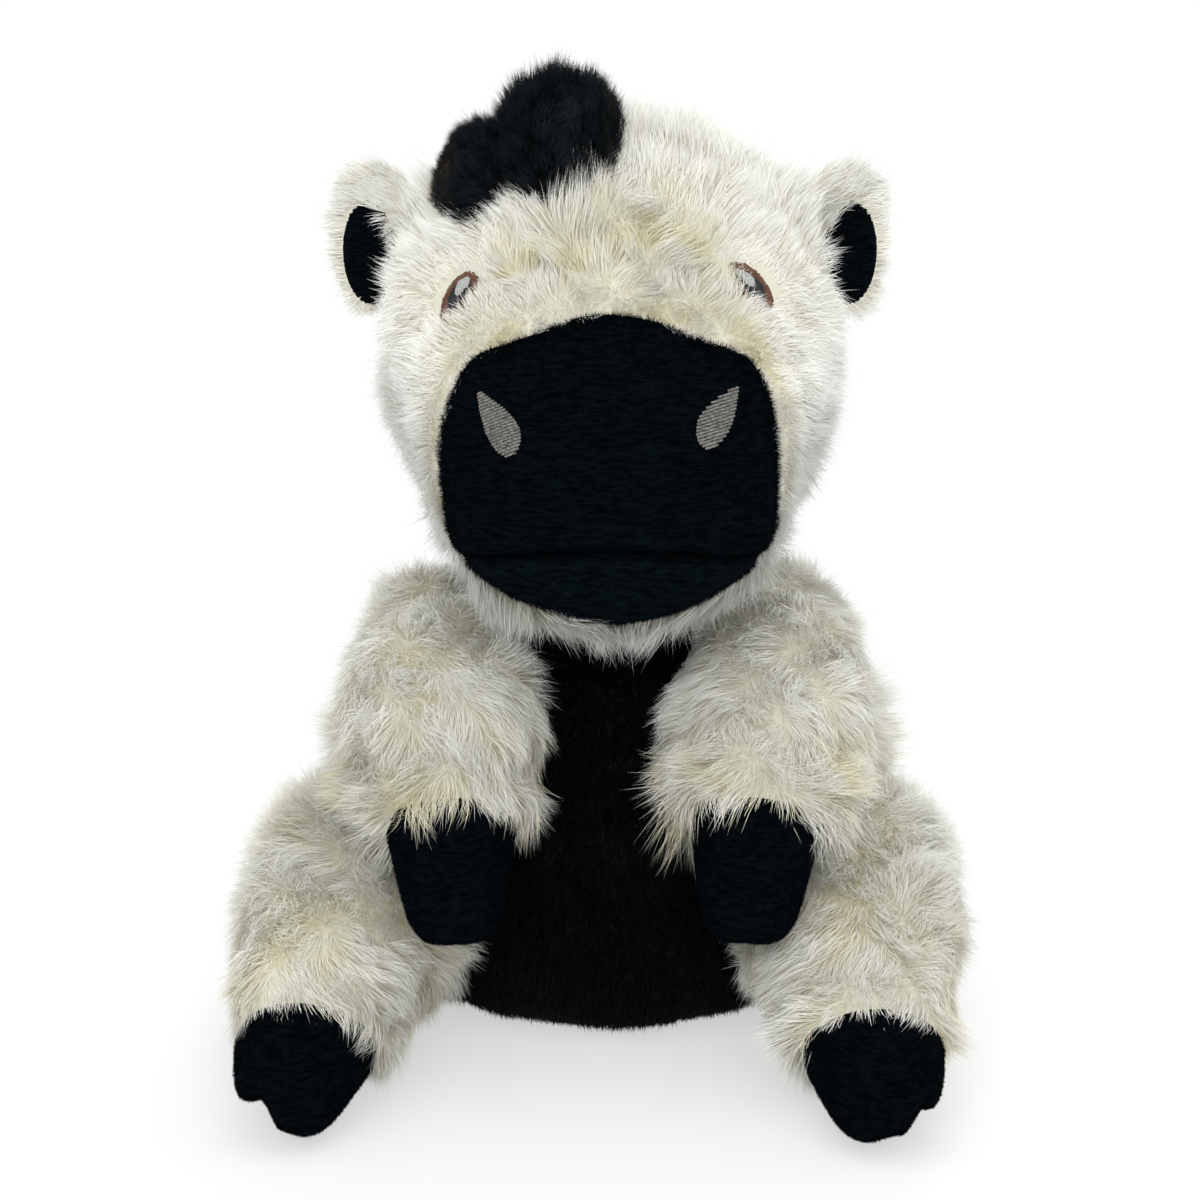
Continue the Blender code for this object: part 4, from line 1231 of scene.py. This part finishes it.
for side, word in ((-1, "left"), (1, "right")):
    place = Matrix.Translation((side * EAR_PLACE.x, EAR_PLACE.y, EAR_PLACE.z))
    place = place @ Matrix.Rotation(math.radians(side * EAR_SWEEP), 4, "Z")
    ear_form = stuffed_form(
        "ear_form", [ear_ring(side, share) for share in EAR_SHARES],
        Vector((-side * 0.0045, 0.0, 0.0)), Vector((side * EAR_LENGTH, 0.0, -0.003)), 4,
    )
    out, deep, tall = vertices_of(ear_form)[0].T
    out = out * side
    ear_form.transform(place)
    ear_form.update()
    ear_skin = placed("ear_skin_" + word, ear_form.copy(), CREAM)
    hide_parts("ear_" + word)
    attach(ear_skin, "ear_" + word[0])
    places, normals = vertices_of(ear_form)
    oval = 1.0 - np.hypot((out - 0.0098) / 0.0078, (tall + 0.0045) / 0.0143)
    inside = np.where(deep < 0.0, oval, -0.5)
    lining = panel_of("ear_lining_cloth_" + word, ear_form, inside + 0.05, LINING_CLOTH, VELOUR)
    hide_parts("ear_lining_" + word)
    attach(lining, "ear_" + word[0])
    outward = np.array(place.to_3x3() @ Vector((side, 0.0, 0.0)))
    comb = along_skin(outward + (places - np.array(place.translation)) * 26.0, normals)
    nap = nap_on("ear_nap_" + word, ear_form, -comb, eased(inside, 0.0, 0.08), 71, LINING_NAP)
    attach(nap, "ear_" + word[0])
    clear = eased(-inside, -0.02, 0.10) * eased(out, -0.003, 0.001)
    reach = np.where(deep < 0.0, 0.0085, 0.0100)
    reach = reach + (0.002 + 0.001 * side) * eased(tall, 0.004, 0.018)
    ear_pile = grow_pile("ear_pile_" + word, ear_form, EAR_HABIT, 72, CREAM, comb, reach, clear)
    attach(ear_pile, "ear_" + word[0])


# Arms and legs
# Stuffed limbs of cream pile round white polyester fibre, with a hoof of black
# velour sewn on the end, cleft at the toe. Each is sewn to the side of the body.

ARM_LENGTH = 0.135
ARM_RADIUS = BODY_HEIGHT * 0.192
# place along, width, height, downward pitch and depth of the cleft of each ring
ARM_SHARES = (
    (-0.05, 0.70, 0.78, 2.0, 0.0),
    (0.20, 0.86, 0.98, 12.0, 0.0),
    (0.43, 1.16, 0.94, 32.0, 0.0),
    (0.63, 0.68, 0.76, 50.0, 0.0),
    (0.905, 0.53, 0.56, 82.0, 0.10),
)
LEG_LENGTH = 0.131
LEG_RADIUS = BODY_HEIGHT * 0.261
LEG_SHARES = (
    (-0.06, 0.78, 0.78, 0.0, 0.0),
    (0.26, 1.00, 1.00, 2.0, 0.0),
    (0.64, 0.66, 0.70, 24.0, 0.0),
    (1.05, 0.42, 0.47, 72.0, 0.28),
)
# rings, length, radius, and the seam's place and pitch, the root and the toe
ARM = (ARM_SHARES, ARM_LENGTH, ARM_RADIUS, 0.645, 52.0, -0.11, 0.935)
LEG = (LEG_SHARES, LEG_LENGTH, LEG_RADIUS, 0.790, 34.0, -0.13, 1.07)
LIMBS = (
    ("arm_left", "arm_l", ARM, 6.7, (-0.055, 0.004, 0.112)),
    ("arm_right", "arm_r", ARM, -9.6, (0.055, 0.004, 0.112)),
    ("leg_left", "leg_l", LEG, -8.0, (-0.070, 0.003, 0.001)),
    ("leg_right", "leg_r", LEG, 1.5, (0.070, 0.0, 0.001)),
)
CLOTH_THICKNESS = 0.0022
HIDDEN_FACES = 0.3
LIMB_PILE = 0.0135
LIMB_HABIT = dict(CREAM_HABIT, fibres=2.4e6, sag=0.35)
LIMB_WAVES = (
    ((290.0, 130.0, 180.0), 1.0),
    ((-170.0, 110.0, 250.0), 3.0),
    ((210.0, -150.0, 310.0), 5.0),
)


def heading(yaw, pitch):
    """Give a direction, where no yaw is straight ahead and pitch tips down."""
    level = math.cos(pitch)
    return Vector((math.sin(yaw) * level, -math.cos(yaw) * level, -math.sin(pitch)))


def limb_point(shares, length, yaw, share):
    """Walk along a limb's bend to a share of its length."""
    stations = [(row[0], math.radians(row[3])) for row in shares]
    place, pitch = stations[0]
    point = heading(yaw, pitch) * place * length
    for next_place, next_pitch in stations[1:]:
        if share <= next_place:
            break
        point += heading(yaw, (pitch + next_pitch) / 2) * (next_place - place) * length
        place, pitch = next_place, next_pitch
    return point + heading(yaw, pitch) * (share - place) * length


def limb_form(name, shares, radius, yaw, at, root_share, toe_share):
    """Loft a limb whose last ring and toe are drawn in to make the cleft."""
    grow = ring_swell(8)
    across = Vector((math.cos(yaw), math.sin(yaw), 0.0))
    rings = []
    for place, width, height, pitch, cleft in shares:
        ahead = heading(yaw, math.radians(pitch))
        upright = ahead.cross(across)
        ring = []
        for u, v in circle_shares(8):
            point = at(place) + across * radius * width * grow * u
            point = point + upright * radius * height * grow * v
            if abs(u) < 1 / 8:
                point -= ahead * radius * cleft
            ring.append(point)
        rings.append(ring)
    toe = at(toe_share) - ahead * radius * 2 * cleft
    return stuffed_form(name, rings, at(root_share), toe, 4)


def stuffing_finish():
    """Give the fibre its cloudy white, with fine strands crossing in all directions."""
    made = Finish("stuffing_finish")
    cloud = made.noise(made.place, 70.0, 3.0, 0.6)
    strands = made.noise(made.place * (500.0, 2600.0, 700.0), 1.0, 3.0, 0.7)
    share = made.between(cloud * 0.6 + strands * 0.4, 0.35, 0.65)
    colour = made.mix(share, (0.62, 0.62, 0.60), (0.84, 0.84, 0.82))
    return made.done(colour, 0.90 + cloud * 0.1, 0.2, made.bump(strands, 0.6, 0.0006))


STUFFING = stuffing_finish()
body_surface = surface_of(body_form)


def under_cloth(form):
    """Give a form's points drawn in by the cloth's thickness."""
    places, normals = vertices_of(form)
    return places - normals * CLOTH_THICKNESS


def hidden(form, places):
    """Give a form with moved points and, as nothing shows them, fewer faces."""
    obj = placed("hidden", moved(form.copy(), places))
    fewer = obj.modifiers.new("fewer", "DECIMATE")
    fewer.ratio = HIDDEN_FACES
    return plain_mesh(obj)


for seed, (word, body, limb, yaw, place) in zip((83, 86, 89, 92), LIMBS):
    shares, length, radius, seam_share, seam_pitch, root_share, toe_share = limb
    is_arm = limb is ARM
    yaw = math.radians(yaw)
    start = Vector(place)
    if not is_arm:
        start.z += radius
    side = np.sign(start.x)

    def at(share):
        """Give the place at a share of the limb's length."""
        return start + limb_point(shares, length, yaw, share)

    form = limb_form(word + "_form", shares, radius, yaw, at, root_share, toe_share)
    seam = at(seam_share)
    ahead = heading(yaw, math.radians(seam_pitch))
    blend_start = at(root_share + 0.02)
    blend_end = at(0.20)

    def past_seam(places):
        """Give how far past the hoof's seam each place lies."""
        return (places - np.array(seam)) @ np.array(ahead)

    places, normals = vertices_of(form)
    if not is_arm:
        # the inner half of the cleft is the larger and reaches lower
        outward = (places[:, 0] - seam.x) * side
        low = eased(places[:, 2], 0.034, 0.004) * eased(places[:, 1], -0.050, -0.075)
        bulge = np.clip(1.0 - (outward / 0.018) ** 2, 0.0, 1.0)
        places[:, 2] += 0.0095 * low * eased(outward, 0.0015, 0.0075)
        places[:, 0] += side * low * (0.0018 + 0.0032 * bulge)
    groove = 0.0011 * np.exp(-((past_seam(places) - 0.0006) / 0.0018) ** 2)
    form = moved(form, places - normals * groove[:, None])
    sleeve_form = part_of(form, seam, ahead)
    hoof_form = part_of(form, seam, -ahead)

    sleeve = placed(word + "_skin", sleeve_form.copy(), CREAM)
    written(sleeve.data, "tone", CLOTH_TONE)
    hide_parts(word + "_sleeve")
    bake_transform(sleeve, "torso", body, start=blend_start, end=blend_end)

    filling = placed(word + "_stuffing", hidden(form, under_cloth(form)), STUFFING)
    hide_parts(word + "_filling")
    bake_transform(filling, "torso", body, start=blend_start, end=blend_end)

    hoof = placed(word + "_hoof_skin", hoof_form.copy(), VELOUR)
    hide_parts(word + "_hoof")
    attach(hoof, body)
    places, normals = vertices_of(hoof_form)
    comb = along_skin(np.array(ahead) + np.array((0.0, -0.1, -0.3)), normals)
    cover = eased(past_seam(places), 0.0002, 0.001)
    nap = nap_on(word + "_hoof_nap", hoof_form, comb, cover, seed)
    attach(nap, body)

    # The pile is combed along the limb's line, and hangs over the hoof
    line = np.array([at(share) for share in np.linspace(root_share, toe_share, 60)])
    course = np.gradient(line, axis=0)
    course /= np.linalg.norm(course, axis=1)[:, None]
    places, normals = vertices_of(sleeve_form)
    nearest = np.argmin(np.linalg.norm(places[:, None, :] - line[None, :, :], axis=2), axis=1)
    comb = along_skin(course[nearest] + np.array((0.0, 0.0, -0.35)), normals)
    comb = comb + waved(places, normals, LIMB_WAVES) * 0.6
    short_of = -past_seam(places)
    tall = places[:, 2]
    inward = -normals[:, 0] * side
    gaps = gaps_over(body_surface, places)
    outside = np.array([math.copysign(gap.length, gap.dot(normal)) for gap, normal in gaps])
    cover = eased(outside, -0.0005, 0.0015) * eased(short_of, -0.0005, 0.0002)
    cuff = 0.0025 if is_arm else -0.0020
    reach = LIMB_PILE + cuff * eased(short_of, 0.020, 0.004)
    if is_arm:
        elbow = eased(-inward, 0.2, 0.8) * eased(tall, 0.105, 0.085)
        reach = reach + 0.008 * elbow
        comb = comb * (1.0 - 0.8 * elbow)[:, None]
        # painted shade: the lower arm is yellower and darker
        tone = 0.05 + 0.95 * eased(tall, 0.120, 0.085)
    else:
        thigh = eased(-inward, 0.0, 0.7) * eased(tall, 0.040, 0.060)
        reach = reach + 0.006 * thigh
        comb = comb * (1.0 - 0.7 * thigh)[:, None] + thigh[:, None] * np.array((0.0, 0.0, 0.35))
        # the lower leg is a little yellower and darker
        tone = 0.40 + 0.3 * eased(tall, 0.060, 0.020)
    reach = reach + 0.005 * eased(inward, 0.3, 0.9) * eased(short_of, 0.030, 0.010)
    pile = grow_pile(
        word + "_pile", sleeve_form, LIMB_HABIT, seed + 1, CREAM, comb, reach, cover, tone
    )
    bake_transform(pile, "torso", body, start=blend_start, end=blend_end)


# Tail
# A short cord of cream cloth sewn to the back, with a tuft of black pile on its
# end. It hangs down and swings on its seam.

TAIL_RADIUS = 0.0040
TAIL_SEAT = 0.0013
TAIL_LENGTH = 0.021
TAIL_DROPS = (0.0004, 0.005, 0.010, 0.015, 0.0206)
TAIL_PLACE = Vector((0.0, BODY_DEPTH / 2 + TAIL_RADIUS + TAIL_SEAT, BODY_HEIGHT * 0.355))
TAIL_PILE = 0.007
TAIL_HABIT = dict(CREAM_HABIT, root_stand=0.7, tip_stand=0.2)
BRUSH_RADIUS = 0.0072
BRUSH_TOP = 0.0213
BRUSH_LENGTH = 0.023
BRUSH_PILE = 0.010


def tail_part(name, sides, rings, first, last):
    """Loft a part of the tail through level rings, given as radius and drop."""
    shape = [
        [TAIL_PLACE + Vector((radius * u, radius * v, -drop)) for u, v in circle_shares(sides)]
        for radius, drop in rings
    ]
    poles = [TAIL_PLACE - Vector((0.0, 0.0, drop)) for drop in (first, last)]
    return stuffed_form(name, shape, *poles, 3)


grow = ring_swell(8)
tail_form = tail_part(
    "tail_form", 8, [(TAIL_RADIUS * grow, drop) for drop in TAIL_DROPS], 0.0, TAIL_LENGTH
)
tail_skin = placed("tail_skin", tail_form.copy(), CREAM)
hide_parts("tail_cord")
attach(tail_skin, "tail")
comb = along_skin((0.0, 0.25, -1.0), vertices_of(tail_form)[1])
pile = grow_pile("tail_pile", tail_form, TAIL_HABIT, 101, CREAM, comb, TAIL_PILE, 1.0)
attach(pile, "tail")
brush_form = tail_part(
    "brush_form", 6,
    [
        (BRUSH_RADIUS * width * ring_swell(6), BRUSH_TOP + BRUSH_LENGTH * share)
        for share, width in ((0.0, 0.70), (0.45, 1.0), (0.85, 0.62))
    ],
    BRUSH_TOP, BRUSH_TOP + BRUSH_LENGTH,
)
brush_skin = placed("tail_brush_skin", brush_form.copy(), BLACK)
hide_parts("tail_tuft")
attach(brush_skin, "tail")
comb = along_skin((0.0, 0.15, -1.0), vertices_of(brush_form)[1])
pile = grow_pile("tail_brush_pile", brush_form, TUFT_HABIT, 102, TUFT_BLACK, comb, BRUSH_PILE, 1.0)
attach(pile, "tail")


# Filling and pellet bag
# White polyester fibre packed into the body and head, and a small cotton bag of
# pellets low in the body that weighs the seat. No side shows any of them.

BAG_ROOM = 1.05
NECK_HOLLOW = NECK_RADIUS + 0.0015


def bag_finish():
    """Weave the bag's plain unbleached cotton, bulged a little by its pellets."""
    made = Finish("pellet_bag_finish")
    warp, weft = [
        made.add(
            "ShaderNodeTexWave", {"Vector": made.place, "Scale": 420.0}, "Fac", bands_direction=way
        )
        for way in "XY"
    ]
    grains = made.add("ShaderNodeTexVoronoi", {"Vector": made.place, "Scale": 330.0}, "Distance")
    cloud = made.noise(made.place, 60.0, 3.0, 0.6)
    woven = warp * weft
    colour = made.mix(woven * 0.6 + cloud * 0.4, (0.36, 0.33, 0.27), (0.62, 0.58, 0.50))
    bump = made.bump(woven * 0.4 - grains, 0.5, 0.0005)
    return made.done(colour, 0.82 + cloud * 0.1, 0.2, bump)


def hollowed(places):
    """Lower the top of the body's filling under the neck's ball."""
    reach = np.hypot(places[:, 0] - NECK_PLACE.x, places[:, 1] - NECK_PLACE.y)
    hollow = NECK_PLACE.z - np.sqrt(np.maximum(NECK_HOLLOW ** 2 - reach ** 2, 0.0))
    lower = np.minimum(places[:, 2], hollow)
    places[:, 2] = np.where(reach < NECK_HOLLOW, lower, places[:, 2])
    return places


bag = bpy.data.objects["pellet_bag"]
for node, material in (("head_filling", STUFFING), ("pellet_bag", bag_finish())):
    for holder in bpy.data.objects[node].material_slots:
        holder.material = material

# the filling has a room in it for the bag, whose faces look inward
bm = bmesh.new()
bm.from_mesh(bag.data)
low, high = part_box("pellet_bag")
middle = (Vector(low) + Vector(high)) / 2
for vert in bm.verts:
    vert.co = middle + (vert.co - middle) * BAG_ROOM
bmesh.ops.reverse_faces(bm, faces=bm.faces)
bm.from_mesh(hidden(body_form, hollowed(under_cloth(body_form))))
filling = placed("body_stuffing", mesh_of(bm, "body_stuffing"), STUFFING)
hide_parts("body_filling")
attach(filling, "torso")


# Floor, light and camera
# A pale studio floor that keeps the toy's shadow and runs out into white, with
# soft light from above and in front. The camera looks slightly down on the face.

FLOOR_REACH = 3.0
WHITE = (1.0, 1.0, 1.0)
LIGHTS = (
    ("front_light", (-0.05, -1.20, 0.62), 0.9, 6.6),
    ("top_light", (0.04, -0.45, 1.25), 1.0, 4.0),
    ("back_light", (0.30, 1.00, 0.80), 0.8, 4.6),
)
AIM = Vector((0.0, 0.0, 0.14))
PITCH = math.radians(14.0)
CAMERA_DISTANCE = 0.75
CAMERA_X = -0.003
CAMERA_LOOK_Z = 0.125


def seen_directly(recipe):
    """Tell the rays that see a surface, or see it in or through another, by 1."""
    path = recipe.add("ShaderNodeLightPath", out="Is Camera Ray")
    seen = path + path.of("Is Glossy Ray") + path.of("Is Transmission Ray")
    return recipe.add("ShaderNodeMath", {0: seen, 1: 1.0}, operation="MINIMUM")


corners = [(x * FLOOR_REACH, y * FLOOR_REACH, 0.0) for x, y in ((-1, -1), (1, -1), (1, 1), (-1, 1))]
floor_mesh = bpy.data.meshes.new("studio_floor")
floor_mesh.from_pydata(corners, [], [(0, 1, 2, 3)])
studio = bpy.data.materials.new("studio_floor_finish")
studio.use_nodes = True
recipe = Recipe(studio.node_tree)
place = recipe.add("ShaderNodeTexCoord", out="Object")
reach = recipe.add("ShaderNodeVectorMath", {0: place}, "Value", operation="LENGTH")
share = seen_directly(recipe) * (0.55 + recipe.between(reach, 0.16, 0.42) * 0.45)
sockets = {"Base Color": (0.92, 0.92, 0.92), "Roughness": 0.9, "Specular IOR Level": 0.1}
plain = recipe.add("ShaderNodeBsdfPrincipled", sockets)
white = recipe.add("ShaderNodeEmission", {"Color": WHITE, "Strength": 1.0})
both = recipe.add("ShaderNodeMixShader", {0: share, 1: plain, 2: white})
recipe.add("ShaderNodeOutputMaterial", {"Surface": both})
floor = placed("studio_floor", floor_mesh, studio)
floor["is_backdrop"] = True

world = bpy.data.worlds.new("studio")
bpy.context.scene.world = world
world.use_nodes = True
recipe = Recipe(world.node_tree)
soft = recipe.add("ShaderNodeBackground", {"Color": WHITE, "Strength": 0.80})
white = recipe.add("ShaderNodeBackground", {"Color": WHITE, "Strength": 1.0})
both = recipe.add("ShaderNodeMixShader", {0: seen_directly(recipe), 1: soft, 2: white})
recipe.add("ShaderNodeOutputWorld", {"Surface": both})


def linked(name, data, place, turn):
    """Put a lamp or camera in the scene."""
    obj = bpy.data.objects.new(name, data)
    bpy.context.scene.collection.objects.link(obj)
    obj.location = place
    obj.rotation_euler = turn
    return obj


for name, place, size, power in LIGHTS:
    lamp = bpy.data.lights.new(name, "AREA")
    lamp.shape = "SQUARE"
    lamp.size = size
    lamp.energy = power
    linked(name, lamp, place, (AIM - Vector(place)).to_track_quat("-Z", "Y").to_euler())

camera = bpy.data.cameras.new("camera")
camera.sensor_width = 36.0
camera.lens = 72.15
height = CAMERA_LOOK_Z + CAMERA_DISTANCE * math.sin(PITCH)
place = (CAMERA_X, -CAMERA_DISTANCE * math.cos(PITCH), height)
bpy.context.scene.camera = linked("camera", camera, place, (math.pi / 2 - PITCH, 0.0, 0.0))
bpy.context.scene.view_settings.view_transform = "Standard"

boxes = {"cad": cad_box, "visual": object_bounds()}
{name: [[float(v) for v in corner] for corner in box] for name, box in boxes.items()}
